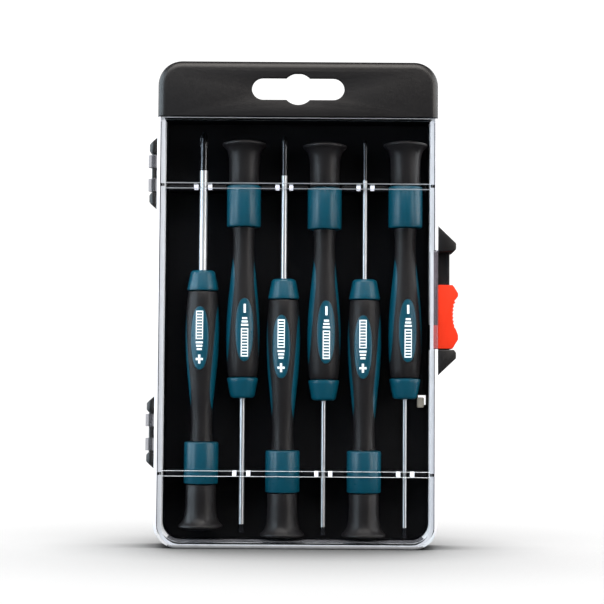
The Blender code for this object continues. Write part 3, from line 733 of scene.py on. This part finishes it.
def build_base():
    """Black case: tray with rounded header, hang slot, cradles, ears, rail and window."""
    outline = tub(0, 0, HEIGHT, CORNER)[:-2] + slab(0, 0, HEIGHT, CORNER)[2:]
    tray = round_front_edges(prism("base", [outline], FRONT, BACK), HEADER_EDGE)
    across = (-HALF_WIDTH - PAST, HALF_WIDTH + PAST)
    pocket = slab(HEADER_WALL, HEADER_BOTTOM + HEADER_WALL, HEIGHT - HEADER_WALL, CORNER - HEADER_WALL)
    behind_z = (HEADER_BOTTOM + HEADER_WALL, HEIGHT + PAST)
    slot = [
        *arc((SLOT_HALF - SLOT_RADIUS, SLOT_Z), SLOT_RADIUS, -90, 90),
        *arc((SLOT_RADIUS - SLOT_HALF, SLOT_Z), SLOT_RADIUS, 90, 270),
    ]
    eye = arc((0, SLOT_Z), SLOT_EYE, 0, 350, 35)
    tray = cut(
        tray,
        box("lid_room", across, (FRONT - PAST, WALL_FRONT), (-PAST, HEADER_BOTTOM)),
        prism("hollow", [tub(WALL, WALL, HEADER_BOTTOM, CORNER - WALL)], WALL_FRONT - PAST, BACK - SKIN),
        prism(
            "rebate",
            [tub(LIP_OFFSET - GAP, LIP_OFFSET - GAP, HEADER_BOTTOM, CORNER - LIP_OFFSET)],
            WALL_FRONT - PAST,
            LID_RIM + LIP_DEPTH + GAP,
        ),
        join(
            prism("pocket", [pocket], FRONT + HEADER_WALL, BACK + PAST),
            box("behind", across, (HEADER_BACK, BACK + 2 * PAST), behind_z),
        ),
        join(
            prism("slot", [slot], FRONT - 2 * PAST, FRONT + 4 * PAST),
            prism("slot_eye", [eye], FRONT - 2.5 * PAST, FRONT + 4.5 * PAST),
        ),
        box("window", WINDOW_X, (BACK - SKIN - 2 * PAST, BACK + 2 * PAST), WINDOW_Z),
    )
    for centre in HINGE_CENTRES:
        for sign in (-1, 1):
            z = centre + sign * KNUCKLE_SPACING
            half = KNUCKLE_HEIGHT / 2 + GAP
            tray = cut(tray, rod("room", (PIN_X, PIN_Y), KNUCKLE_RADIUS + GAP, (z - half, z + half)))
    made = [soften(tray, TRAY_SOFT, 3)]
    made.append(cradle("upper_cradle", RIB_UPPER_Z, True))
    made.append(cradle("lower_cradle", RIB_LOWER_Z, False))
    for centre in HINGE_CENTRES:
        made.extend(hinge_ears(centre))
    made.append(stop_ear(RAIL_TOP, 1))
    made.append(stop_ear(RAIL_BOTTOM, -1))
    z = (RAIL_BOTTOM - OVERLAP, RAIL_TOP + OVERLAP)
    web = box("rail", (HALF_WIDTH - WALL / 2, RAIL_REACH), (RAIL_FRONT, RAIL_BACK), z)
    bead_y = (RAIL_FRONT - RAIL_BEAD, RAIL_BACK + RAIL_BEAD)
    bead = box("bead", (RAIL_REACH - RAIL_BEAD_WIDTH, RAIL_REACH), bead_y, z)
    made.append(soften(join(web, bead), SOFT))
    shell = paint(shade(gather("case_shell", made)), CASE_BLACK, CASE_INNER_PAINTED_SHADE)
    # painted shade: the faces inside the tray, between its walls and below the header, take the darker copy
    # of the case plastic
    inside_x = HALF_WIDTH - WALL + HAIR
    for face in shell.data.polygons:
        x, y, z = face.center
        within = abs(x) < inside_x and WALL - HAIR < z < HEADER_BOTTOM + HAIR
        face.material_index = 1 if within and y < BACK - SKIN + HAIR else 0
    piece(shell, "case_shell", "case", "case_black", "base_shell")


def knuckle(z):
    """One lid knuckle: a ring round the hinge bar and its web to the lid's wall."""
    half = KNUCKLE_HEIGHT / 2
    ring = rod("knuckle", (PIN_X, PIN_Y), KNUCKLE_RADIUS, (z - half, z + half))
    web = box(
        "web",
        (PIN_X + KNUCKLE_BORE, -HALF_WIDTH + WALL / 4),
        (PIN_Y - KNUCKLE_RADIUS + SOFT, LID_RIM - HAIR),
        (z - half, z + half),
    )
    return join(ring, web)


def shaft_stop(number, z, sign):
    """A block on a rib beside one shaft, which keeps the screwdriver in its place."""
    x = driver_x(number) + sign * STOP_SPREAD
    return box(
        "stop",
        (x - STOP_WIDTH / 2, x + STOP_WIDTH / 2),
        (FRONT + SKIN - OVERLAP, STOP_TIP),
        (z - STOP_HEIGHT / 2, z + STOP_HEIGHT / 2),
    )


def lid_look(face):
    """Which of the lid's looks a face takes, as its number in LID_LOOKS: the painted glows and hazes go by
    where the face lies.
    """
    clear, edge, ring, stop, rounded, latch, low, side, sheet, pin = range(10)
    x, y, z = face.center
    normal = face.normal
    # knuckle rings and the hinge bar: painted hazes
    if x < -HALF_WIDTH - HAIR:
        return pin if abs(x - PIN_X) < PIN_RADIUS and abs(normal.z) < 0.5 else ring
    # in front of the latch: painted haze
    if x > slider_low.x and RAIL_BOTTOM < z < RAIL_TOP:
        return latch
    # front roundings: painted glows, dim grey at the bottom and pale at the sides
    if y < FRONT + LID_EDGE and normal.y < -0.1:
        if z < LID_EDGE:
            return rounded
        if abs(x) > HALF_WIDTH - LID_EDGE:
            return side
    # upward faces near the bottom: painted grey haze
    if normal.z > 0.5 and z < FLOOR_LOOK_TOP:
        return low
    # tips of the shaft stops: painted glow
    for number in range(len(TIPS)):
        stop_z = RIB_LOWER_Z if points_down(number) else RIB_UPPER_Z
        beside = abs(abs(x - driver_x(number)) - STOP_SPREAD) < STOP_WIDTH / 2
        if beside and abs(z - stop_z) < STOP_HEIGHT / 2 and y > STOP_TIP - HAIR:
            return stop
    # small bevels: the painted edge glow
    if face.material_index == edge:
        return edge
    return sheet if abs(normal.y) > 0.9 else clear


def split_for_looks(lid):
    """Split the lid's faces where its looks change: round the latch and the hinge bars."""
    shape = bmesh.new()
    shape.from_mesh(lid.data)
    planes = (
        ((0, 0, RAIL_BOTTOM), (0, 0, 1)),
        ((0, 0, RAIL_TOP), (0, 0, 1)),
        ((slider_low.x, 0, 0), (1, 0, 0)),
        ((PIN_X + PIN_RADIUS, 0, 0), (1, 0, 0)),
        ((PIN_X - PIN_RADIUS, 0, 0), (1, 0, 0)),
    )
    for point, normal in planes:
        everything = [*shape.verts, *shape.edges, *shape.faces]
        bmesh.ops.bisect_plane(shape, geom=everything, plane_co=point, plane_no=normal)
    shape.to_mesh(lid.data)
    shape.free()


def build_lid():
    """Clear lid: front, walls, lip, cross ribs, shaft stops and knuckles."""
    top = LID_TOP
    shell = round_front_edges(prism("lid", [tub(0, 0, top, CORNER)], FRONT, LID_RIM), LID_EDGE, top)
    inside = tub(WALL, WALL, top + 2 * PAST, CORNER - WALL)
    cavity = prism("cavity", [inside], FRONT + SKIN, LID_RIM + PAST)
    lid = cut(shell, cavity)
    lip_outline = tub(LIP_OFFSET, LIP_OFFSET, top, CORNER - LIP_OFFSET)
    lip = prism("lip", [lip_outline], LID_RIM - PAST, LID_RIM + LIP_DEPTH)
    room = prism("room", [inside], LID_RIM - 2 * PAST, LID_RIM + 4 * PAST)
    lid = join(lid, cut(lip, room))
    half = HALF_WIDTH - WALL + OVERLAP
    inner = FRONT + SKIN
    for upper, z in ((True, RIB_UPPER_Z), (False, RIB_LOWER_Z)):
        span = (z - RIB_THICK / 2, z + RIB_THICK / 2)
        lid = join(lid, box("rib", (-half, half), (inner - OVERLAP, inner + LID_RIB_DEPTH), span))
        for number in range(len(TIPS)):
            if points_down(number) != upper:
                lid = join(lid, shaft_stop(number, z, -1), shaft_stop(number, z, 1))
    for centre in HINGE_CENTRES:
        hook = box(
            "hook",
            (PIN_X + KNUCKLE_BORE, -HALF_WIDTH + WALL / 4),
            (PIN_Y - HOOK_FRONT, LID_RIM - HAIR),
            (centre - HOOK_HEIGHT / 2, centre + HOOK_HEIGHT / 2),
        )
        lid = join(lid, knuckle(centre - KNUCKLE_SPACING), knuckle(centre + KNUCKLE_SPACING), hook)
        reach = HINGE_BAR_HALF
        lid = cut(lid, rod("bore", (PIN_X, PIN_Y), KNUCKLE_BORE, (centre - reach, centre + reach)))
    wall_x = (HALF_WIDTH - WALL - PAST, HALF_WIDTH + PAST)
    behind_lip = 0.005
    lid = cut(
        lid,
        box("latch_window", wall_x, (LATCH_WINDOW_FRONT, CATCH_FRONT), (RAIL_BOTTOM, RAIL_TOP)),
        box("latch_way", wall_x, (CATCH_FRONT - PAST, behind_lip), (RAIL_BOTTOM, CATCH_BOTTOM)),
    )
    paint(lid, *LID_LOOKS)
    # the small bevels take the painted edge glow
    lid = soften(lid, SOFT, material=LID_LOOKS.index(PAINTED_EDGE_GLOW))
    split_for_looks(lid)
    # each face takes its look, clear or a painted glow or haze, by where it lies
    for face in lid.data.polygons:
        face.material_index = lid_look(face)
    piece(shade(lid), "clear_cover", "lid", "clear_plastic", "clear_lid")


def build_light_band():
    """The light that the lid's walls gather: a thin pale band inside them, open at the latch and ribs."""
    outer = tub(BAND_OUTER, BAND_BOTTOM[0], BAND_TOP, BAND_CORNER[0])
    inner = tub(BAND_INNER, BAND_BOTTOM[1], BAND_TOP, BAND_CORNER[1])
    band = prism("band", [outer, inner], *BAND_Y)
    latch = box("latch", (slider_low.x, HALF_WIDTH), (FRONT, LID_RIM), (RAIL_BOTTOM, RAIL_TOP))
    notch = RIB_THICK / 3.6
    notches = [
        box("notch", (-HALF_WIDTH, HALF_WIDTH), (FRONT, LID_RIM), (z - notch, z + notch))
        for z in (RIB_LOWER_Z, RIB_UPPER_Z)
    ]
    band = cut(band, latch, *notches)
    piece(paint(band, PAINTED_BAND_HAZE), "cover_light_band", "lid", "clear_plastic")


def build_tab():
    """Small ivory tab with rounded edges in front of the window."""
    tab = box("tab", (tab_low.x, tab_high.x), (tab_low.y, tab_high.y), (tab_low.z, tab_high.z))
    tab = soften(tab, TAB_SOFT, 4)
    piece(paint(shade(tab), IVORY), "ivory_tab", "case", "tab_ivory", "window_tab")


def build_slider():
    """Orange slider: two bumps, a stepped hollow thumb rest and the locking lip."""
    z0 = slider_low.z
    z1 = slider_high.z
    bump = slider_high.x
    shoulder = bump - 0.0009
    waist = bump - 0.0016
    rest_low = z0 + 0.0072
    rest_high = z0 + 0.0166
    steps = 8
    outline = [
        (SLIDER_INNER, z0),
        (bump - 0.0020, z0),
        (bump, z0 + 0.0033),
        (bump, z0 + 0.0049),
    ]
    for i in range(steps):
        z = rest_low + (rest_high - rest_low) * i / (steps - 1)
        bow = math.sin(math.pi * i / (steps - 1)) ** 0.6
        x = shoulder - (shoulder - waist) * bow
        outline.append((x, z))
        outline.append((x - 0.0005, z + 0.0005))
    outline.extend(
        [
            (bump, z1 - 0.0041),
            (bump, z1 - 0.0030),
            (bump - 0.0013, z1 - 0.0009),
            (bump - 0.0020, z1),
            (SLIDER_INNER, z1),
        ]
    )
    front = slider_low.y
    slider = prism("slider", [outline], front, slider_high.y)
    lip_x = (slider_low.x, SLIDER_INNER + OVERLAP)
    lip = box("lip", lip_x, (front, SLIDER_LIP_BACK), (z0, z0 + SLIDER_LIP_HEIGHT))
    slider = soften(join(slider, lip), FINE_SOFT, 3)
    room_z = (z0 - 2 * PAST, z1 + 2 * PAST)
    web_x = (SLIDER_INNER - PAST, RAIL_REACH)
    web_room = box("web_room", web_x, (RAIL_FRONT - GAP, RAIL_BACK + GAP), room_z)
    bead_x = (RAIL_REACH - RAIL_BEAD_WIDTH - GAP, RAIL_REACH + GAP)
    bead_y = (RAIL_FRONT - RAIL_BEAD - GAP, RAIL_BACK + RAIL_BEAD + GAP)
    bead_room = box("bead_room", bead_x, bead_y, room_z)
    slider = cut(slider, join(web_room, bead_room))
    piece(paint(shade(slider), ORANGE), "orange_slider", "latch", "latch_orange", "latch_slider")


# ---- screwdrivers -------------------------------------------------------------
def smooth_profile(points):
    """Points of a smooth curve through (radius, height) points, by Catmull-Rom."""
    ends = [points[0], *points, points[-1]]
    made = []
    for a, b, c, d in zip(ends, ends[1:], ends[2:], ends[3:]):
        for i in range(CURVE_STEPS):
            t = i / CURVE_STEPS
            made.append(
                tuple(
                    0.5 * (2 * q + (r - p) * t + (2 * p - 5 * q + 4 * r - s) * t * t
                    + (3 * q - p - 3 * r + s) * t ** 3)
                    for p, q, r, s in zip(a, b, c, d)
                )
            )
    made.append(points[-1])
    return made


GRIP_POINTS = [
    (0.00520, NOSE_BASE - 0.0003),
    (0.00560, 0.0820),
    (0.00595, 0.0770),
    (0.00610, 0.0710),
    (0.00595, 0.0650),
    (0.00555, 0.0590),
    (0.00498, 0.0535),
    (0.00438, 0.0480),
    (0.00392, 0.0430),
    (0.00376, 0.0390),
    (0.00382, 0.0355),
    (0.00412, COLLAR_TOP + GAP),
]
GRIP_CURVE = smooth_profile(GRIP_POINTS)


def grip_radius(z):
    """The grip's outer radius at a height from the butt."""
    for (r1, z1), (r2, z2) in zip(GRIP_CURVE, GRIP_CURVE[1:]):
        if z2 <= z <= z1:
            return r2 + (r1 - r2) * (z - z2) / (z1 - z2)
    return GRIP_POINTS[0][0]


def oval(half_width, centre, half_length):
    """A long oval with fuller ends than an ellipse."""
    points = []
    for i in range(OVAL_STEPS):
        a = math.tau * i / OVAL_STEPS
        c, s = math.cos(a), math.sin(a)
        points.append(
            (
                half_width * math.copysign(abs(c) ** 0.85, c),
                centre + half_length * math.copysign(abs(s) ** 0.95, s),
            )
        )
    return points


def windows(margin):
    """Oval pads front and back and the two side stripes, as through prisms."""
    reach = 0.01
    pad = oval(PAD_HALF_WIDTH + margin, PAD_CENTRE, PAD_HALF_LENGTH + margin)
    stripe = oval(STRIPE_HALF_WIDTH + margin, STRIPE_CENTRE, STRIPE_HALF_LENGTH + margin)
    front_back = prism("pad_window", [pad], -reach, reach)
    sides = prism("side_window", [stripe], -reach, reach)
    sides.rotation_euler = (0, 0, math.pi / 2)
    return join(front_back, settle(sides))


def core_mesh():
    """Teal core: nose with its lip, collar, pads and stripes."""
    chamfer = 0.0005
    stub = 0.0022
    stub_length = 0.006
    core = turned(
        "core",
        [
            (0, HANDLE_LENGTH - 0.0010),
            (BLADE_ROOT_RADIUS + 0.0010, HANDLE_LENGTH - 0.0010),
            (BLADE_ROOT_RADIUS + 0.0014, HANDLE_LENGTH - 0.0002),
            (BLADE_ROOT_RADIUS + 0.0018, HANDLE_LENGTH),
            (NOSE_TIP_RADIUS - 0.0006, HANDLE_LENGTH - 0.0001),
            (NOSE_TIP_RADIUS - 0.0001, HANDLE_LENGTH - 0.0005),
            (NOSE_TIP_RADIUS + 0.0001, HANDLE_LENGTH - 0.0011),
            (NOSE_RADIUS - 0.0002, NOSE_BASE + 0.0016),
            (NOSE_RADIUS, NOSE_BASE + 0.0007),
            (NOSE_RADIUS - 0.0001, NOSE_BASE + 0.0002),
            (NOSE_RADIUS - 0.0005, NOSE_BASE),
            (CORE_RADIUS, NOSE_BASE),
            (CORE_RADIUS, COLLAR_TOP),
            (COLLAR_RADIUS - chamfer, COLLAR_TOP),
            (COLLAR_RADIUS - chamfer * 0.35, COLLAR_TOP - chamfer * 0.25),
            (COLLAR_RADIUS, COLLAR_TOP - chamfer),
            (COLLAR_RADIUS, CAP_LENGTH + GAP + chamfer * 0.7),
            (COLLAR_RADIUS - chamfer * 0.3, CAP_LENGTH + GAP + chamfer * 0.15),
            (COLLAR_RADIUS - chamfer * 0.8, CAP_LENGTH + GAP),
            (stub, CAP_LENGTH + GAP),
            (stub, CAP_LENGTH - stub_length),
            (0, CAP_LENGTH - stub_length),
        ],
    )
    skin = [(r - PAD_SINK, z) for r, z in GRIP_CURVE]
    pads = turned("pads", [(0, GRIP_CURVE[0][1]), *skin, (0, GRIP_CURVE[-1][1])])
    pads = combine(pads, windows(0), "INTERSECT")
    core = gather("core", [core, soften(pads, FINE_SOFT, 2, 50)])
    return mesh_of(shade(core, 35))


def grip_mesh():
    """Soft black sleeve with windows for the pads and stripes."""
    inner = CORE_RADIUS + GAP
    step = 0.0002
    outline = list(GRIP_CURVE)
    outline[0] = (outline[0][0] - step, outline[0][1])
    sleeve = turned("grip", [*outline, (inner, outline[-1][1]), (inner, outline[0][1])], closed=True)
    sleeve = cut(sleeve, windows(PAD_MARGIN))
    return mesh_of(shade(soften(sleeve, FINE_SOFT, 2, 50), 35))


def cap_mesh():
    """Swivel cap: a plain barrel that flares to a thin finger rim, and a domed butt."""
    bore = 0.0025
    bore_end = 0.0058
    profile = [
        (bore, CAP_LENGTH),
        (0.0049, CAP_LENGTH),
        (0.00525, CAP_LENGTH - 0.0001),
        (0.0054, CAP_LENGTH - 0.0004),
        (0.0054, 0.0115),
        (0.00546, 0.0090),
        (0.00562, 0.0067),
        (0.00595, 0.0048),
        (0.00652, 0.0034),
        (0.00725, 0.0025),
        (0.00775, 0.0021),
        (0.00795, 0.0018),
        (0.00798, 0.0015),
        (0.00788, 0.0012),
        (0.0074, 0.0010),
        (0.0060, 0.0006),
        (0.0045, 0.0003),
        (0.0025, 0.0001),
        (0, 0),
    ]
    inside = [(0, bore_end), (bore, bore_end)]
    cap = turned("cap", [*profile, *inside], closed=True)
    return mesh_of(shade(cap, 35))


def blade_mesh(number):
    """A round shank with a black tip: fluted Phillips point or ground flat."""
    tip, radius, dark = TIPS[number]
    low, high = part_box(f"blade_{number + 1}")
    end = BLADE_ROOT + (high.z - low.z)
    around = 48
    if tip == "phillips":
        heights = [end, end - 0.00015, end - radius * 0.4]
        heights += [end - radius * (0.8 + 0.5 * i) for i in range(9)]
        heights += [end - dark + 0.0002, end - dark - 0.0002]
    else:
        heights = [end - 0.00002] + [end - dark * i / 8 for i in range(1, 9)]
        heights += [end - dark - 0.0004]
    heights += [HANDLE_LENGTH + 0.0002, HANDLE_LENGTH - 0.0002, BLADE_ROOT]

    def section(z, angle):
        if z <= HANDLE_LENGTH:
            return BLADE_ROOT_RADIUS
        down = end - z
        if tip == "phillips":
            cone = min(radius, radius * 0.28 + down * 0.5)
            wing = radius * 0.17 + max(0, down - radius * 0.3) * 0.13
            off = abs((angle + math.pi / 4) % (math.pi / 2) - math.pi / 4)
            return min(cone, max(wing / max(math.sin(off), 1e-6), wing * 1.05)) if off > 0.02 else cone
        half = radius * 0.25 + (radius * 0.85) * (down / dark) ** 1.4
        return min(radius, half / max(abs(math.sin(angle)), 1e-6))

    shape = bmesh.new()
    rings = []
    for z in heights:
        ring = []
        for i in range(around):
            angle = math.tau * (i + 0.5) / around
            r = section(z, angle)
            ring.append(shape.verts.new((r * math.cos(angle), r * math.sin(angle), z)))
        rings.append(ring)
    for upper, lower in zip(rings, rings[1:]):
        middle = (upper[0].co.z + lower[0].co.z) / 2
        for i in range(around):
            j = (i + 1) % around
            face = shape.faces.new((lower[i], lower[j], upper[j], upper[i]))
            face.material_index = 1 if middle > end - dark else 0
    top = shape.faces.new(rings[0])
    top.material_index = 1
    shape.faces.new(list(reversed(rings[-1])))
    bmesh.ops.recalc_face_normals(shape, faces=shape.faces)
    mesh = bpy.data.meshes.new("blade")
    shape.to_mesh(mesh)
    shape.free()
    return mesh_of(shade(solid("blade", mesh), 28))


def grid_rim(grid):
    """The outermost points of a grid of rows, once round."""
    far_side = [row[-1] for row in grid[1:]]
    near_side = [row[0] for row in grid[-2:0:-1]]
    return [*grid[0], *far_side, *grid[-1][-2::-1], *near_side]


def curved_patch(shape, z_low, z_high, x_low, x_high):
    """A thin solid patch on the pad, which follows its round surface."""
    rows = max(2, int((z_high - z_low) / MARK_STEP) + 1)
    columns = 3
    layers = []
    for rise in (MARK_LIFT, -MARK_SINK):
        grid = []
        for i in range(rows + 1):
            z = z_low + (z_high - z_low) * i / rows
            radius = grip_radius(z) + rise
            row = []
            for j in range(columns + 1):
                x = x_low + (x_high - x_low) * j / columns
                row.append(shape.verts.new((x, -math.sqrt(max(radius * radius - x * x, 0)), z)))
            grid.append(row)
        layers.append(grid)
    outer, inner = layers
    for i in range(rows):
        for j in range(columns):
            shape.faces.new((outer[i][j], outer[i][j + 1], outer[i + 1][j + 1], outer[i + 1][j]))
            shape.faces.new((inner[i][j], inner[i + 1][j], inner[i + 1][j + 1], inner[i][j + 1]))
    rim_outer = grid_rim(outer)
    rim_inner = grid_rim(inner)
    for k in range(len(rim_outer)):
        m = (k + 1) % len(rim_outer)
        shape.faces.new((rim_outer[k], rim_inner[k], rim_inner[m], rim_outer[m]))


def mark_mesh(tip):
    """The plain white mark on a pad: a ruled frame, three bars and a tip symbol."""
    shape = bmesh.new()
    half = MARK_HALF_WIDTH
    line = MARK_LINE
    ruled_low = PAD_CENTRE - 0.0005
    ruled_high = PAD_CENTRE + 0.0097
    for x_low, x_high in ((-half, -half + line), (half - line, half)):
        curved_patch(shape, ruled_low, ruled_high, x_low, x_high)
    ticks = 10
    tick = line * 1.6
    for i in range(ticks):
        z = ruled_low + (ruled_high - ruled_low - tick) * i / (ticks - 1)
        curved_patch(shape, z, z + tick, -half + line * 1.1, half - line * 1.1)
    bars_top = PAD_CENTRE - 0.0020
    for i in range(3):
        z = bars_top - 0.0012 * i
        reach = half * (1 - 0.15 * i)
        curved_patch(shape, z, z + 0.0007, -reach, reach)
    centre = PAD_CENTRE - 0.0076
    arm = 0.0016
    stroke = 0.0004
    curved_patch(shape, centre - arm, centre + arm, -stroke, stroke)
    if tip == "phillips":
        curved_patch(shape, centre - stroke, centre + stroke, -half, -stroke * 1.2)
        curved_patch(shape, centre - stroke, centre + stroke, stroke * 1.2, half)
    bmesh.ops.recalc_face_normals(shape, faces=shape.faces)
    mesh = bpy.data.meshes.new("mark")
    shape.to_mesh(mesh)
    shape.free()
    return mesh


def build_drivers():
    """Six drivers; every other one points down."""
    core = core_mesh()
    grip = grip_mesh()
    cap = cap_mesh()
    for mesh, material in ((core, TEAL), (grip, GRIP), (cap, CAP)):
        mesh.materials.clear()
        mesh.materials.append(material)
    for number, (tip, _, _) in enumerate(TIPS):
        label = number + 1
        body = f"driver_{label}"
        cap_low, cap_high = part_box(f"swivel_cap_{label}")
        if points_down(number):
            place = Matrix.Translation((driver_x(number), 0, cap_high.z))
            place = place @ Matrix.Rotation(math.radians(SPIN_DOWN), 4, "Z")
            place = place @ Matrix.Rotation(math.pi, 4, "Y")
        else:
            place = Matrix.Translation((driver_x(number), 0, cap_low.z))
            place = place @ Matrix.Rotation(math.radians(SPIN_UP), 4, "Z")
        blade = blade_mesh(number)
        blade.materials.append(CHROME)
        blade.materials.append(OXIDE)
        mark = mark_mesh(tip)
        mark.materials.append(PRINT)
        parts = (
            (blade, f"steel_blade_{label}", body, "chrome_steel", (f"blade_{label}",)),
            (core, f"teal_core_{label}", body, "handle_teal", (f"handle_core_{label}",)),
            (grip, f"soft_grip_{label}", body, "grip_black", (f"grip_sleeve_{label}",)),
            (cap, f"cap_turned_{label}", f"cap_{label}", "grip_black", (f"swivel_cap_{label}",)),
            (mark, f"pad_mark_{label}", body, "handle_teal", ()),
        )
        for mesh, name, rides_on, slot, nodes in parts:
            obj = solid(name, mesh)
            obj.matrix_world = place
            piece(obj, name, rides_on, slot, *nodes)


# ---- studio -------------------------------------------------------------------
def look_at(obj, target, roll=0.0):
    direction = Vector(target) - obj.location
    turn = direction.to_track_quat("-Z", "Y") @ Matrix.Rotation(roll, 4, "Z").to_quaternion()
    obj.rotation_mode = "QUATERNION"
    obj.rotation_quaternion = turn


def build_camera():
    """Camera a little below the case's middle, looking slightly up."""
    data = bpy.data.cameras.new("camera")
    camera = bpy.data.objects.new("camera", data)
    bpy.context.scene.collection.objects.link(camera)
    aim = Vector(CAMERA_AIM)
    camera.location = (aim.x, -CAMERA_AWAY, CAMERA_HEIGHT)
    look_at(camera, aim, math.radians(CAMERA_ROLL))
    data.sensor_width = 36
    data.lens = data.sensor_width * (aim - camera.location).length / CAMERA_VIEW_WIDTH
    data.clip_start = 0.01
    data.clip_end = 20
    bpy.context.scene.camera = camera


def area_light(name, location, size, power, colour, receivers):
    data = bpy.data.lights.new(name, "AREA")
    data.shape = "RECTANGLE"
    data.size, data.size_y = size
    data.energy = power
    data.color = colour
    light = bpy.data.objects.new(name, data)
    bpy.context.scene.collection.objects.link(light)
    light.location = location
    light.visible_camera = False
    look_at(light, LIGHT_AIM)
    light.light_linking.receiver_collection = receivers


def floor_material():
    """Matt white paper with a painted contact shadow: ambient occlusion darkens its colour where something
    stands on it.
    """
    nodes = Nodes("floor_white")
    shade_socket = nodes.blend(nodes.noise(3, 2), (0.925, 0.925, 0.925), (0.93, 0.93, 0.93))
    # painted shadow: two ambient occlusion passes, one wide and one close, darken the colour near anything
    # on the paper
    for reach in (0.12, 0.045):
        painted_contact_shadow = nodes.add("ShaderNodeAmbientOcclusion", samples=8)
        painted_contact_shadow.inputs["Distance"].default_value = reach
        nodes.join(shade_socket, painted_contact_shadow.inputs["Color"])
        shade_socket = painted_contact_shadow.outputs["Color"]
    nodes.join(shade_socket, nodes.shader.inputs["Base Color"])
    nodes.shader.inputs["Roughness"].default_value = 0.9
    nodes.shader.inputs["Specular IOR Level"].default_value = 0.0
    return nodes.material


def build_studio():
    """White floor and backdrop, with softboxes that light only the object."""
    world = bpy.data.worlds.new("studio")
    bpy.context.scene.world = world
    world.use_nodes = True
    backdrop = world.node_tree.nodes["Background"]
    backdrop.inputs["Color"].default_value = (1, 1, 1, 1)
    backdrop.inputs["Strength"].default_value = 1.15
    world.cycles_visibility.glossy = False

    floor = box("floor", (-40, 40), (-4, 60), (-0.02, 0))
    paint(floor, floor_material())
    floor.visible_glossy = False
    not_floor = bpy.data.collections.new("not_floor")
    not_floor.objects.link(floor)
    not_floor.collection_objects[0].light_linking.link_state = "EXCLUDE"

    cool = (0.78, 0.91, 1.0)
    warm = (1.0, 0.95, 0.89)
    white = (1.0, 1.0, 1.0)
    # name, azimuth in degrees from the front, distance, height, size, watts, colour
    boxes = (
        ("left_box", 54, 0.8, 0.25, (0.26, 0.7), 4.4, cool),
        ("right_box", -54, 0.8, 0.25, (0.26, 0.7), 3.2, warm),
        ("left_side_box", 90, 0.7, 0.25, (0.5, 0.7), 6.0, cool),
        ("right_side_box", -90, 0.7, 0.25, (0.5, 0.7), 4.5, white),
        ("left_back_box", 135, 0.9, 0.35, (0.5, 0.7), 3.0, white),
        ("right_back_box", -135, 0.9, 0.35, (0.5, 0.7), 3.0, white),
        ("top_box", 0, 0.42, 0.82, (0.9, 0.7), 10.5, warm),
    )
    for name, azimuth, away, height, size, power, colour in boxes:
        angle = math.radians(azimuth)
        place = (-away * math.sin(angle), -away * math.cos(angle), height)
        area_light(name, place, size, power, colour, not_floor)
    bpy.context.scene.view_settings.view_transform = "Standard"


build_base()
build_tab()
build_lid()
build_light_band()
build_slider()
build_drivers()
build_camera()
build_studio()
